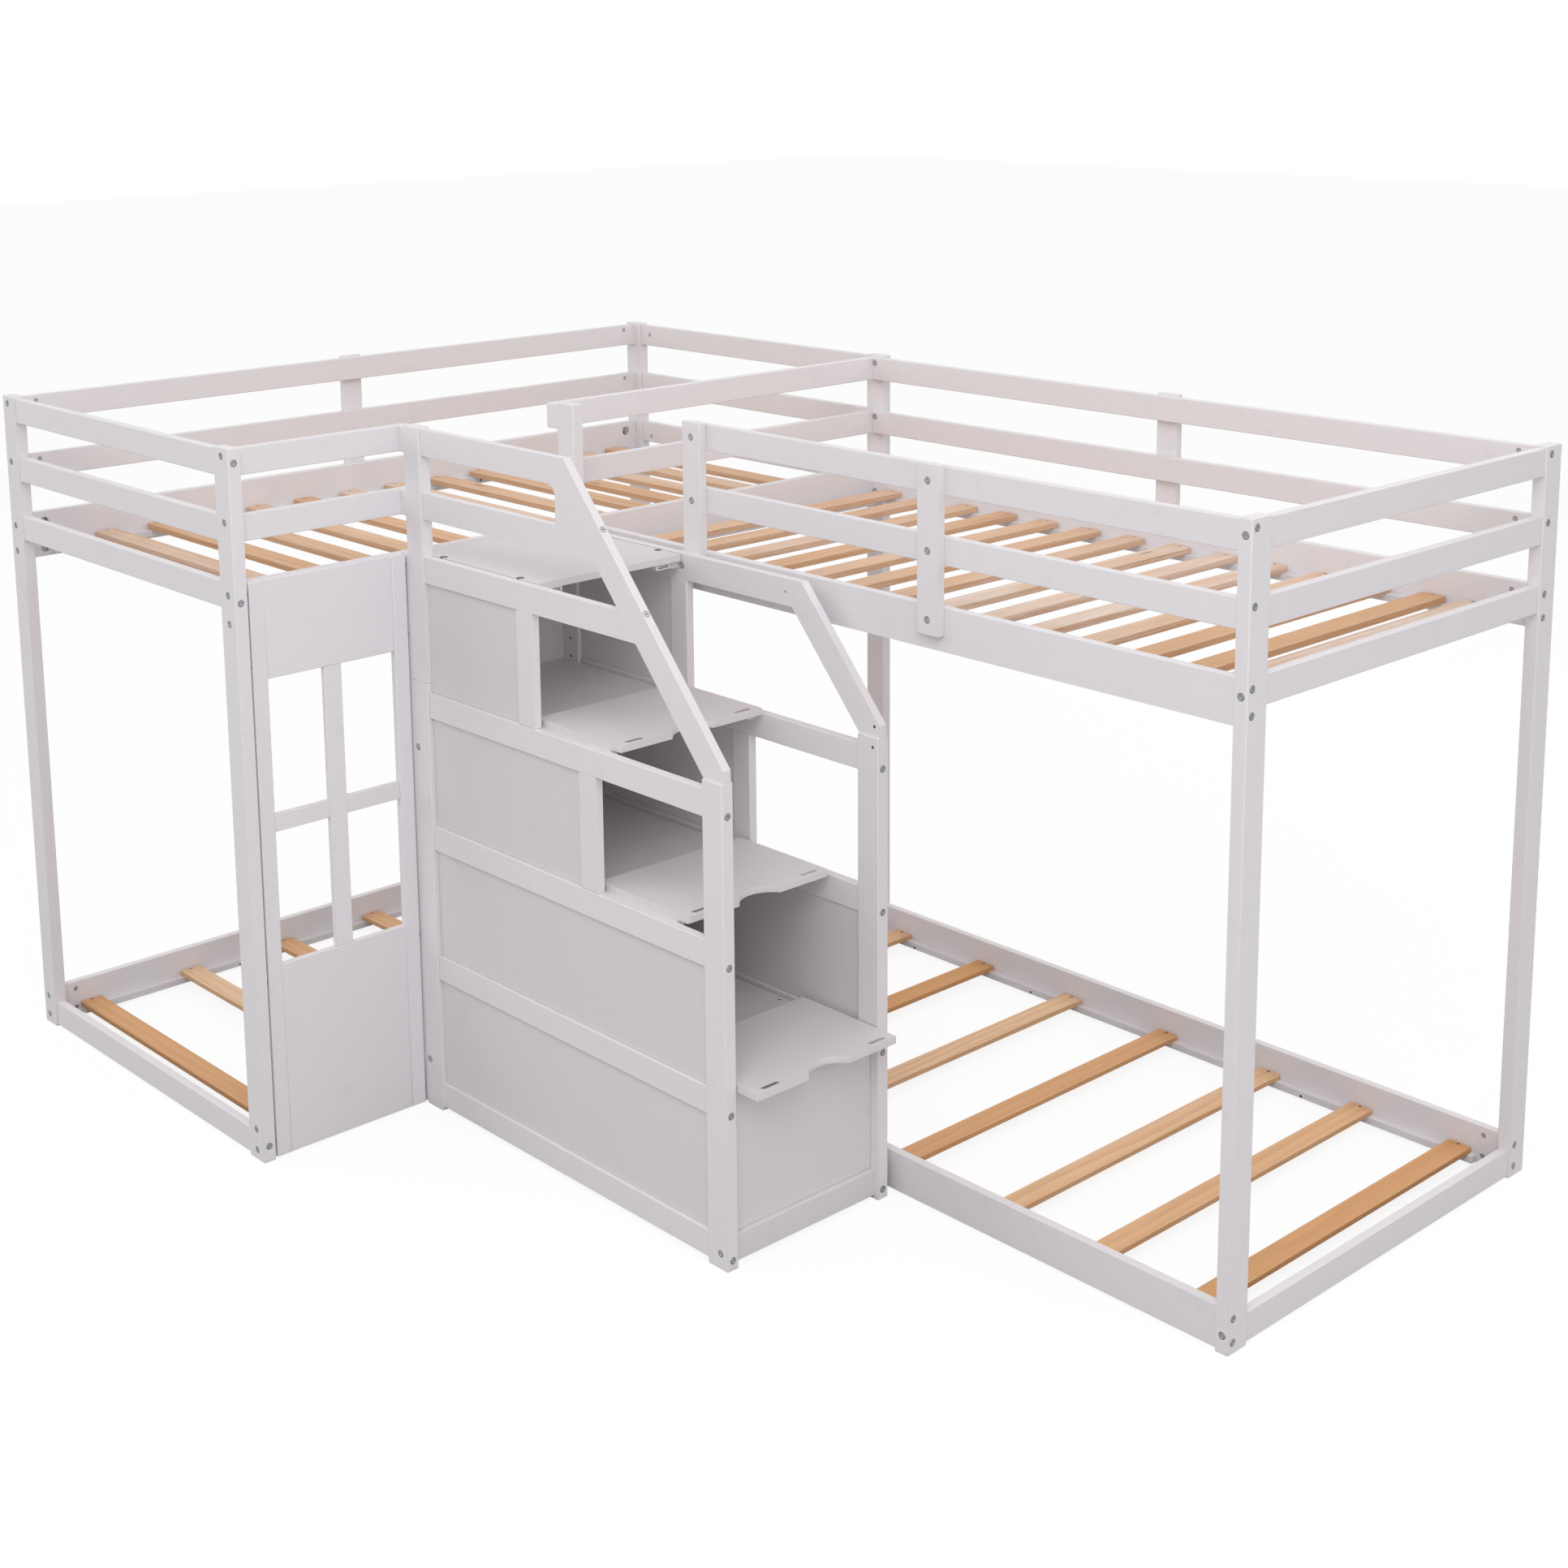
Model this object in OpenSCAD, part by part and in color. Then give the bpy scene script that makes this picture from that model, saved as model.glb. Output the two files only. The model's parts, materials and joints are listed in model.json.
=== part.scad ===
// L shaped bunk bed: two twin-over-twin beds that share a corner, with storage stairs in the angle.
// Everything is drawn from the inner wall corner: x runs right along one wall, y runs towards that
// wall from the room, z is up. place() then moves the origin to the middle of the footprint.

/* [Overall] */
// Length of the left bed, foot end to wall
bed_l = 2020; // [1990:2:2100]
// Width over the posts of each bed
bed_w = 1085; // [1065:1:1120]
// Whole length along the wall, both beds
total_w = 3044; // [2960:2:3200]
// Height of the posts
post_h = 1640; // [1620:1:1700]

/* [Posts and rails] */
// Wide side of a post
post_w = 60; // [56:1:66]
// Narrow side of a post
post_t = 30; // [28:1:34]
// Thickness of every rail
rail_t = 20; // [18:0.5:22]
// Setback of an end rail from the face of its posts
set_back = 4; // [2:0.5:6]
// Setback of the left wall rails, which leaves room for their upright
wall_set_back = 14; // [12:0.5:18]
// Height of a guard rail
guard_h = 60; // [50:1:68]
// Drop from the top of the posts to the top guard rail
top_drop = 4; // [2:1:10]
// Clear height between two guard rails
guard_gap = 86; // [76:1:96]
// Clear height between the lower guard rail and the bed rail
bed_gap = 88; // [78:1:98]
// Height of the bed rails across the short ends
end_rail_h = 60; // [54:1:70]
// Height of the left bed's long bed rails
left_rail_h = 114; // [106:1:124]
// Height of the right bed's long bed rails
right_rail_h = 94; // [88:1:104]
// Height of the long floor rails
floor_rail_h = 90; // [84:1:100]
// Height of the floor rails across the short ends
end_floor_h = 62; // [54:1:70]
// Clearance of the floor rails above the floor
floor_gap = 4; // [2:1:10]
// Width of the flat uprights that stiffen the guards
upright_w = 60; // [50:1:70]
// Distance of the first front upright from the back of the stairs
upright_start = 413; // [380:1:450]
// Gap between the stairs and the second front upright
upright_gap = 75; // [50:1:120]
// Distance of the left wall upright from the foot end
upright_foot = 970; // [900:1:1040]
// Distance of the right wall upright from the end of the bed
upright_end = 1034; // [950:1:1100]

/* [Slats] */
// Width of a slat
slat_w = 58; // [48:1:66]
// Thickness of an upper slat
slat_t = 16; // [14:0.5:18]
// Thickness of a lower slat
low_slat_t = 13.5; // [12:0.5:16]
// Width and height of the ledgers under the slats
ledger = 18; // [16:0.5:22]
// Clearance between the ledger ends and the posts
ledger_gap = 55; // [40:1:60]
// Clearance at each end of a slat
slat_gap = 3; // [1:0.5:6]
// Number of slats in the upper left bed
left_slats = 13; // [10:1:14]
// Distance of the first upper left slat from the foot end
left_slat_foot = 234; // [150:1:300]
// Distance of the last upper left slat from the wall
left_slat_head = 125; // [100:1:200]
// Spacing of the last five upper left slats
left_slat_close = 125; // [110:1:140]
// Number of slats in the upper right bed
right_slats = 14; // [10:1:14]
// Distance of the first upper right slat from the left bed's rail
right_slat_start = 82; // [60:1:120]
// Distance of the last upper right slat from the end rail
right_slat_end = 130; // [100:1:180]
// Spacing of the last two upper right slats
right_slat_close = 98; // [80:1:130]
// Number of slats in the lower left bed
low_slats = 7; // [5:1:7]
// Distance of the first lower left slat from the foot end
low_slat_foot = 109; // [95:1:150]
// Distance of the last lower left slat from the wall
low_slat_head = 183; // [120:1:220]
// Distance of the first lower right slat from the left bed's rail
low_slat_start = 123; // [95:1:160]
// Distance of the last lower right slat from the end rail
low_slat_end = 101; // [95:1:150]
// Spacing of the last three lower right slats
low_slat_close = 255; // [220:1:270]

/* [Stairs] */
// Length of the stair box over its posts
stair_l = 1071; // [1050:1:1100]
// Width of the stair box over its posts
stair_w = 468; // [440:1:500]
// Clearance between the stair box and the left bed's posts
stair_gap_x = 1; // [0.5:0.5:5]
// Clearance between the stair box and the right bed's posts
stair_gap_y = 22; // [21:1:30]
// Setback of the stair rails from the face of the stair posts
stair_set_back = 5; // [3:0.5:6]
// Height of a stair rail
stair_rail_h = 60; // [50:1:66]
// Height of the stair's bottom rail above the floor
kick_gap = 9; // [5:1:14]
// Thickness of the side panels, the riser and the shelves
panel_t = 9; // [8:0.5:12]
// Setback of the side panels from the inner faces of the rails
panel_in = 4; // [2:0.5:5]
// Drop of the fixed shelves below the top of the side rails
shelf_drop = 10; // [6:1:14]
// Height of the lower cross rail behind the stairs
back_rail_low = 117; // [105:1:130]
// Height of the upper cross rail behind the stairs
back_rail_high = 887; // [860:1:905]
// Run of one step
step_run = 207; // [200:1:212]
// Length of a step lid, front to back
lid_l = 295; // [280:1:298]
// Thickness of a step lid
lid_t = 15; // [13:0.5:16]
// Overhang of the lowest lid past its posts
lid_nose = 60; // [50:1:70]
// Gap at each side of a step lid
lid_side_gap = 3; // [2:0.5:5]
// Gap behind a step lid
lid_back_gap = 1.5; // [1:0.25:3]
// Width of the finger notch in a lid
notch_w = 116; // [100:1:140]
// Depth of the finger notch
notch_d = 32; // [24:1:36]
// Thickness of the fixed top platform
platform_t = 16; // [14:0.5:20]
// Length of the fixed top platform past the first stair post
platform_reach = 386; // [370:1:390]
// Width of the vertical stiles beside the openings
stile_w = 56; // [50:1:62]
// Height of the joint in the stair posts above the third step's rail
post_joint = 22; // [16:1:28]
// Height of the cleats under the lids and shelves
cleat = 18; // [14:0.5:18]
// Width of these cleats
cleat_w = 24; // [20:0.5:24]

/* [Handrails] */
// Slope of the handrails
hand_slope = 49; // [47:0.5:51]
// Width of the sloping handrail boards
hand_w = 62; // [54:1:66]
// Straight foot of a handrail on its post
hand_foot = 26; // [22:1:32]
// Length of the upper opening in the near guard
guard_open = 490; // [440:1:500]
// Rounding of that opening's corner
guard_corner = 26; // [15:1:35]

/* [Window panel] */
// Thickness of the window panel
window_t = 18; // [15:0.5:19]
// Width of the panel's side stiles
window_stile = 37; // [30:1:45]
// Gap between the panel and the posts beside it
window_gap = 5; // [3:0.5:8]
// Height of the solid board at the bottom
window_low = 453; // [420:1:480]
// Height of the solid board at the top
window_top = 223; // [200:1:240]
// Width of the upright bar
window_bar = 45; // [38:1:50]
// Height of the cross bar
window_cross = 41; // [35:1:48]
// Height of the cross bar above the bottom board
window_cross_up = 310; // [280:1:330]

/* [Fasteners] */
// Diameter of a frame bolt
bolt_d = 6; // [5:0.5:7]
// Diameter of a bolt head
head_d = 14; // [12:0.5:15]
// Height of a bolt head
head_h = 3.5; // [3:0.25:4]
// Reach of a bolt into the end of a rail
bolt_reach = 52; // [46:1:58]
// Distance of a barrel nut from the end of its rail
nut_in = 40; // [34:1:42]
// Diameter of a barrel nut
nut_d = 12; // [10:0.5:13]
// Diameter of the half-round nuts in the left wall rail
half_nut_d = 26; // [22:0.5:28]
// Diameter of a hinge pin in a step lid
pin_d = 6; // [5:0.5:7]
// Depth of a hinge pin in the lid
pin_in = 25; // [20:1:35]
// Diameter of a wood screw head
screw_d = 7; // [6:0.5:8]
// Diameter of the flat heads in the platform
disc_d = 18; // [15:0.5:20]

/* [Hidden] */
$fn = 48;

paint = "#d6d1d6";
panel_paint = "#cac8c6";
pine = "#d9b58a";
plywood = "#cf9a60";
zinc = "#9a9da0";

// Clearances and small details
bolt_play = 0.25;
pin_play = 0.05;
head_play = 0.5;
head_proud = 0.5;
key_d = 6;
key_h = 2;
board_gap = 0.2;
nut_play = 0.2;
nut_cover = 4;
thread_play = 0.1;
screw_play = 0.1;
screw_sink = 0.2;
screw_grip = 9;
joint_screw_l = 15;
nut_short = 2;
half_nut_depth = 15;

// Heights
guard_top = post_h - top_drop;
guard_zs = [guard_top - guard_h, guard_top - 2 * guard_h - guard_gap];
bed_top = guard_zs[1] - bed_gap;
left_rail_z = bed_top - left_rail_h;
right_rail_z = bed_top - right_rail_h;
left_ledger_up = 8;
low_ledger_up = 2;
left_ledger_z = left_rail_z + left_ledger_up;
right_ledger_z = right_rail_z;
low_ledger_z = floor_gap + low_ledger_up;

// Faces of the long rails, seen from the wall corner
left_wall_x = wall_set_back;
inner_shift = 1;
inner_x = bed_w - post_w / 2 - rail_t / 2 + inner_shift;
right_wall_y = -post_t - rail_t;
right_front_y = -bed_w + set_back + inner_shift;
end_x = total_w - set_back - rail_t;
foot_y = -bed_l + set_back;
head_y = -set_back - rail_t;
foot_in = -bed_l + post_t;
end_in = total_w - post_t;

// Stair box
stair_x = bed_w + stair_gap_x;
stair_end = stair_x + stair_l;
far_y = -bed_w - stair_gap_y - post_t;
near_y = far_y + post_t - stair_w;
near_rail_y = near_y + stair_set_back;
far_rail_y = far_y + post_t - stair_set_back - rail_t;
near_in = near_rail_y + rail_t;
far_in = far_rail_y;
near_post_in = near_y + post_t;
first_top = kick_gap + stair_rail_h;
step_rise = (bed_top - first_top) / 4;
function rail_top(i) = first_top + i * step_rise;
joint_z = rail_top(3) + post_joint;
stair_in = stair_x + post_w;
stair_out = stair_end - post_w;
function lid_front(i) = stair_end + lid_nose - (i - 1) * step_run;
function lid_back(i) = lid_front(i) - lid_l;
function pivot_x(i) = lid_back(i) + lid_t / 2;
function pivot_z(i) = rail_top(i) + lid_t / 2;
lid_y = near_post_in + lid_side_gap;
lid_w = far_y - near_post_in - 2 * lid_side_gap;
back_rail_in = 5;
back_rail_x = stair_x + back_rail_in;
riser_in = 31;
riser_x = stair_end - riser_in;
platform_play = 1;
platform_x = inner_x + rail_t + platform_play;
platform_end = stair_in + platform_reach;
function shelf_top(i) = rail_top(i) - shelf_drop;
divider_y = far_y;

// Handrails
hand_rise = tan(hand_slope);
hand_drop = hand_w / cos(hand_slope);
hand_corner = joint_z + hand_foot;
function hand_top_x(z) = stair_end - (z - hand_corner) / hand_rise;
function hand_low_x(z) = hand_top_x(z + hand_drop);

// Window panel between the foot post and the stairs
window_x = inner_x + rail_t;
window_y = foot_in + window_gap;
window_w = near_y - window_gap - window_y;
window_z = floor_gap;
window_h = bed_top - window_z;

// Slat places, centre of each slat
low_right_slats = 7;
left_slat_y = -bed_l + left_slat_foot;
left_pitch = (bed_l - left_slat_foot - left_slat_head - 4 * left_slat_close) / (left_slats - 5);
left_ys = concat([for (i = [0:left_slats - 6]) left_slat_y + i * left_pitch],
    [for (i = [4:-1:0]) -left_slat_head - i * left_slat_close]);
right_slat_x = inner_x + rail_t + right_slat_start;
right_last_x = end_x - right_slat_end;
right_pitch = (right_last_x - right_slat_close - right_slat_x) / (right_slats - 2);
right_xs = concat([for (i = [0:right_slats - 2]) right_slat_x + i * right_pitch], [right_last_x]);
low_left_y = -bed_l + low_slat_foot;
low_left_pitch = (bed_l - low_slat_foot - low_slat_head) / (low_slats - 1);
low_left_ys = [for (i = [0:low_slats - 1]) low_left_y + i * low_left_pitch];
low_right_x = inner_x + rail_t + low_slat_start;
low_last_x = end_x - low_slat_end;
low_right_pitch = (low_last_x - 2 * low_slat_close - low_right_x) / (low_right_slats - 3);
low_right_xs = concat([for (i = [0:low_right_slats - 3]) low_right_x + i * low_right_pitch],
    [low_last_x - low_slat_close, low_last_x]);

// Bolt heights on a rail, set apart where two rails meet one post
guard_bolt_drop = 14;
left_bolt_drop = 27;
right_bolt_drop = 20;
low_bolt_up = 23;
floor_bolt_ups = [70, 20];
cross_bolt_up = 2;
cross_bolt_drops = [42, 34];
cross_floor_ups = [34, 35];
side_zs = [for (z = guard_zs) z + guard_h - guard_bolt_drop];
left_deep_zs = [bed_top - left_bolt_drop, left_rail_z + low_bolt_up];
right_deep_zs = [bed_top - right_bolt_drop, right_rail_z + low_bolt_up];
floor_zs = [for (up = floor_bolt_ups) floor_gap + up];
guard_mids = [for (z = guard_zs) z + guard_h / 2];
cross_zs = [guard_mids[0] + cross_bolt_up, bed_top - cross_bolt_drops[0], floor_gap + cross_floor_ups[0]];
right_cross_zs = [guard_mids[0] + cross_bolt_up, bed_top - cross_bolt_drops[1],
    floor_gap + cross_floor_ups[1]];

// A bolt row is [place of the head, way in, wood before the rail, side the nut goes in from]
function column(x, y, zs, way, wood, side) = [for (z = zs) [[x, y, z], way, wood, side]];
function inside(rows, low, high) = [for (b = rows) if (b[0][2] > low && b[0][2] < high) b];

left_wall_rx = left_wall_x + rail_t / 2;
inner_rx = inner_x + rail_t / 2;
left_all_zs = concat(side_zs, left_deep_zs, floor_zs);
right_all_zs = concat(side_zs, right_deep_zs, floor_zs);
left_wall_zs = concat(side_zs, floor_zs);
left_wall_bolts = concat(
    column(left_wall_rx, -bed_l, left_wall_zs, [0, 1, 0], post_t, [1, 0, 0]),
    column(left_wall_rx, 0, left_wall_zs, [0, -1, 0], post_t, [1, 0, 0]));
half_nut_bolts = concat(
    column(left_wall_rx, -bed_l, left_deep_zs, [0, 1, 0], post_t, [1, 0, 0]),
    column(left_wall_rx, 0, left_deep_zs, [0, -1, 0], post_t, [1, 0, 0]));
left_inner_bolts = concat(
    column(inner_rx, -bed_l, left_all_zs, [0, 1, 0], post_t, [-1, 0, 0]),
    column(inner_rx, 0, left_all_zs, [0, -1, 0], post_t, [-1, 0, 0]));
foot_bolts = concat(
    column(0, foot_y + rail_t / 2, cross_zs, [1, 0, 0], post_w, [0, 1, 0]),
    column(bed_w, foot_y + rail_t / 2, cross_zs, [-1, 0, 0], post_w, [0, 1, 0]));
head_bolts = concat(
    column(0, head_y + rail_t / 2, cross_zs, [1, 0, 0], post_w, [0, -1, 0]),
    column(bed_w, head_y + rail_t / 2, cross_zs, [-1, 0, 0], post_w, [0, -1, 0]));
end_bolts = concat(
    column(end_x + rail_t / 2, 0, right_cross_zs, [0, -1, 0], post_w, [-1, 0, 0]),
    column(end_x + rail_t / 2, -bed_w, right_cross_zs, [0, 1, 0], post_w, [-1, 0, 0]));
right_wall_bolts = column(total_w, right_wall_y + rail_t / 2, right_all_zs, [-1, 0, 0], post_t, [0, -1, 0]);
right_front_bolts = column(total_w, right_front_y + rail_t / 2, right_all_zs, [-1, 0, 0], post_t, [0, 1, 0]);
right_start_bolts = column(inner_x + head_proud, right_front_y + rail_t / 2, concat(right_deep_zs, floor_zs),
    [1, 0, 0], rail_t, [0, 1, 0]);
stair_bolt_up = 13;
stair_bolt_zs = [for (i = [0:3]) rail_top(i) - stair_rail_h + stair_bolt_up];
near_rail_bolts = concat(
    column(stair_end, near_rail_y + rail_t / 2, stair_bolt_zs, [-1, 0, 0], post_w, [0, 1, 0]),
    column(stair_x + head_proud, near_rail_y + rail_t / 2, stair_bolt_zs, [1, 0, 0], post_w, [0, 1, 0]));
far_rail_bolts = concat(
    column(stair_end, far_rail_y + rail_t / 2, stair_bolt_zs, [-1, 0, 0], post_w, [0, 1, 0]),
    column(stair_x + head_proud, far_rail_y + rail_t / 2, stair_bolt_zs, [1, 0, 0], post_w, [0, 1, 0]));
near_guard_bolts = column(stair_x + head_proud, near_rail_y + rail_t / 2,
    concat(guard_mids, [bed_top - guard_h / 2]), [1, 0, 0], post_w, [0, 1, 0]);
far_guard_bolts = column(stair_x + head_proud, far_rail_y + rail_t / 2, [bed_top - guard_h / 2],
    [1, 0, 0], post_w, [0, -1, 0]);
nut_bolts = concat(left_wall_bolts, left_inner_bolts, foot_bolts, head_bolts,
    end_bolts, right_wall_bolts, right_front_bolts, right_start_bolts, near_rail_bolts, far_rail_bolts,
    near_guard_bolts, far_guard_bolts);

// A plain bolt row has its whole length in place of the wood before the rail
front_upright_xs = [stair_x + upright_start, stair_end + upright_gap];
wall_upright_y = -bed_l + upright_foot;
wall_upright_x = total_w - upright_end;
front_upright_y = right_front_y - rail_t;
upright_bolt_drop = 27;
bolt_short = 4;
plain_len = 2 * rail_t - bolt_short - 2;
upright_zs = concat(guard_mids, [bed_top - upright_bolt_drop]);
upright_bolts = concat(
    column(front_upright_xs[0] + upright_w / 2, front_upright_y, guard_mids, [0, 1, 0], plain_len, 0),
    column(front_upright_xs[1] + upright_w / 2, front_upright_y, upright_zs, [0, 1, 0], plain_len, 0));
wall_upright_bolts = concat(
    column(0, wall_upright_y + upright_w / 2, upright_zs, [1, 0, 0],
        wall_set_back + rail_t - bolt_short, 0),
    column(wall_upright_x + upright_w / 2, -post_t + rail_t, upright_zs, [0, -1, 0], plain_len, 0));
start_x = inner_x + rail_t + (bed_w - inner_x - rail_t) / 2;
wall_start_bolts = column(start_x, right_wall_y, right_all_zs, [0, 1, 0], rail_t + post_t - bolt_short, 0);
side_bolt_l = post_t + 30;
back_rail_zs = [back_rail_low, back_rail_high];
back_rail_bolts = concat(
    column(back_rail_x + rail_t / 2, near_y, back_rail_zs, [0, 1, 0], side_bolt_l, 0),
    column(back_rail_x + rail_t / 2, far_y + post_t, back_rail_zs, [0, -1, 0], side_bolt_l, 0));
riser_bolt_up = 26;
riser_bolts = concat(
    column(riser_x + rail_t / 2, near_y, [kick_gap + riser_bolt_up], [0, 1, 0], side_bolt_l, 0),
    column(riser_x + rail_t / 2, far_y + post_t, [kick_gap + riser_bolt_up], [0, -1, 0], side_bolt_l, 0));
tie_x = front_upright_xs[0] + upright_w / 2;
tie_len = right_front_y - far_rail_y + rail_t - bolt_short;
tie_bolt = [[[tie_x, far_rail_y, bed_top - upright_bolt_drop], [0, 1, 0], tie_len, 0]];
plain_bolts = concat(upright_bolts, wall_upright_bolts, wall_start_bolts, back_rail_bolts,
    riser_bolts, tie_bolt);

module place() {
    translate([-total_w / 2, bed_l / 2, 0]) children();
}

// A board between two opposite corners
module board(low, high) {
    translate(low) cube(high - low);
}

// Turns +z to the way v
function turn(v) = v[0] > 0 ? [0, 90, 0] : v[0] < 0 ? [0, -90, 0] : v[1] > 0 ? [-90, 0, 0]
    : v[1] < 0 ? [90, 0, 0] : v[2] < 0 ? [180, 0, 0] : [0, 0, 0];

module facing(at, way) {
    translate(at) rotate(turn(way)) children();
}

module bolt(length) {
    difference() {
        union() {
            translate([0, 0, -head_proud]) cylinder(d = head_d, h = head_h);
            cylinder(d = bolt_d, h = length);
        }
        translate([0, 0, -head_proud - 1]) cylinder(d = key_d, h = key_h + 1, $fn = 6);
    }
}

// Clearance hole with a sunk seat for the head
module bolt_hole(length) {
    translate([0, 0, -1]) cylinder(d = head_d + 2 * head_play, h = head_h - head_proud + 1);
    cylinder(d = bolt_d + 2 * bolt_play, h = length + 1);
}

module nut_bolt_holes(rows) {
    for (b = rows) {
        facing(b[0], b[1]) bolt_hole(b[2] + bolt_reach);
        facing(b[0] + b[1] * (b[2] + nut_in), b[3]) translate([0, 0, -rail_t / 2 + nut_cover])
            cylinder(d = nut_d + 2 * nut_play, h = rail_t);
    }
}

// The large blind holes that take a half-round nut, and its bolt
module half_nut_holes(rows) {
    for (b = rows) {
        facing(b[0], b[1]) bolt_hole(b[2] + bolt_reach);
        facing(b[0] + b[1] * (b[2] + nut_in), b[3]) translate([0, 0, rail_t / 2 - half_nut_depth])
            cylinder(d = half_nut_d, h = rail_t);
    }
}

module plain_bolt_holes(rows) {
    for (b = rows)
        facing(b[0], b[1]) bolt_hole(b[2]);
}

// Wood with its bolt and nut holes drilled
module drilled(rows, plain = []) {
    difference() {
        children();
        nut_bolt_holes(rows);
        plain_bolt_holes(plain);
    }
}

// One upright post of the frame
module post(x, y, wide_x, rows, plain = []) {
    size = wide_x ? [post_w, post_t, post_h] : [post_t, post_w, post_h];
    color(paint) place() drilled(rows, plain) translate([x, y, 0]) cube(size);
}

module foot_wall_post() {
    post(0, -bed_l, true, concat(left_wall_bolts, half_nut_bolts, foot_bolts));
}

module foot_inner_post() {
    color(paint) place() difference() {
        drilled(concat(left_inner_bolts, foot_bolts))
            translate([bed_w - post_w, -bed_l, 0]) cube([post_w, post_t, post_h]);
        window_pin_holes(-1);
    }
}

module corner_post() {
    post(0, -post_t, true, concat(left_wall_bolts, half_nut_bolts, head_bolts));
}

module middle_post() {
    post(bed_w - post_w, -post_t, true, concat(left_inner_bolts, head_bolts), wall_start_bolts);
}

module end_wall_post() {
    post(end_in, -post_w, false, concat(right_wall_bolts, end_bolts));
}

module end_front_post() {
    post(end_in, -bed_w, false, concat(right_front_bolts, end_bolts));
}

// Two guard rails along x
module guards_x(x0, x1, y, rows, plain = []) {
    for (z = guard_zs)
        drilled(inside(rows, z, z + guard_h), inside(plain, z, z + guard_h))
            board([x0, y, z], [x1, y + rail_t, z + guard_h]);
}

// Two guard rails along y
module guards_y(y0, y1, x, rows, plain = []) {
    for (z = guard_zs)
        drilled(inside(rows, z, z + guard_h), inside(plain, z, z + guard_h))
            board([x, y0, z], [x + rail_t, y1, z + guard_h]);
}

// One rail along x or y, drilled at the bolts that meet it
module rail_x(x0, x1, y, z, h, rows, plain = []) {
    drilled(inside(rows, z, z + h), inside(plain, z, z + h))
        board([x0, y, z], [x1, y + rail_t, z + h]);
}

module rail_y(y0, y1, x, z, h, rows, plain = []) {
    drilled(inside(rows, z, z + h), inside(plain, z, z + h))
        board([x, y0, z], [x + rail_t, y1, z + h]);
}

module foot_guard_rails() {
    color(paint) place() guards_x(post_w, bed_w - post_w, foot_y, foot_bolts);
}

module head_guard_rails() {
    color(paint) place() guards_x(post_w, bed_w - post_w, head_y, head_bolts);
}

module end_guard_rails() {
    color(paint) place() guards_y(-bed_w + post_w, -post_w, end_x, end_bolts);
}

// The bed rail and the floor rail across a short end
module cross_rails_x(y, rows) {
    rail_x(post_w, bed_w - post_w, y, bed_top - end_rail_h, end_rail_h, rows);
    rail_x(post_w, bed_w - post_w, y, floor_gap, end_floor_h, rows);
}

module foot_cross_rails() {
    color(paint) place() cross_rails_x(foot_y, foot_bolts);
}

module head_cross_rails() {
    color(paint) place() cross_rails_x(head_y, head_bolts);
}

module end_cross_rails() {
    color(paint) place() {
        rail_y(-bed_w + post_w, -post_w, end_x, bed_top - end_rail_h, end_rail_h, end_bolts);
        rail_y(-bed_w + post_w, -post_w, end_x, floor_gap, end_floor_h, end_bolts);
    }
}

module left_wall_guard_rails() {
    color(paint) place() guards_y(foot_in, -post_t, left_wall_x, left_wall_bolts, wall_upright_bolts);
}

module left_wall_bed_rail() {
    color(paint) place() difference() {
        rail_y(foot_in, -post_t, left_wall_x, left_rail_z, left_rail_h, [], wall_upright_bolts);
        half_nut_holes(half_nut_bolts);
        upper_ledger_screws(screw_play);
    }
}

module left_inner_guard_rails() {
    color(paint) place() guards_y(foot_in, near_post_in, inner_x, left_inner_bolts);
}

module left_inner_bed_rail() {
    color(paint) place() difference() {
        rail_y(foot_in, -post_t, inner_x, left_rail_z, left_rail_h, left_inner_bolts);
        nut_bolt_holes(inside(right_start_bolts, left_rail_z, bed_top));
        upper_ledger_screws(screw_play);
    }
}

module left_floor_rails() {
    color(paint) place() difference() {
        union() {
            rail_y(foot_in, -post_t, left_wall_x, floor_gap, floor_rail_h, left_wall_bolts);
            rail_y(foot_in, -post_t, inner_x, floor_gap, floor_rail_h, left_inner_bolts);
        }
        nut_bolt_holes(inside(right_start_bolts, 0, left_rail_z));
        lower_ledger_screws(screw_play);
    }
}

module divider_guard_rails() {
    color(paint) place() guards_y(divider_y, -post_t, inner_x, left_inner_bolts);
}

module right_wall_guard_rails() {
    color(paint) place()
        guards_x(inner_x + rail_t, end_in, right_wall_y, right_wall_bolts,
            concat(wall_start_bolts, wall_upright_bolts));
}

module right_wall_bed_rail() {
    color(paint) place() difference() {
        rail_x(inner_x + rail_t, end_in, right_wall_y, right_rail_z, right_rail_h, right_wall_bolts,
            concat(wall_start_bolts, wall_upright_bolts));
        upper_ledger_screws(screw_play);
    }
}

module right_front_guard_rails() {
    color(paint) place()
        guards_x(front_upright_xs[0], end_in, right_front_y, right_front_bolts, upright_bolts);
}

module right_front_bed_rail() {
    color(paint) place() difference() {
        rail_x(inner_x + rail_t, end_in, right_front_y, right_rail_z, right_rail_h,
            concat(right_front_bolts, right_start_bolts), concat(upright_bolts, tie_bolt));
        upper_ledger_screws(screw_play);
    }
}

module right_floor_rails() {
    color(paint) place() difference() {
        union() {
            rail_x(inner_x + rail_t, end_in, right_wall_y, floor_gap, floor_rail_h, right_wall_bolts,
                wall_start_bolts);
            rail_x(inner_x + rail_t, end_in, right_front_y, floor_gap, floor_rail_h,
                concat(right_front_bolts, right_start_bolts));
        }
        lower_ledger_screws(screw_play);
    }
}

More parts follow.
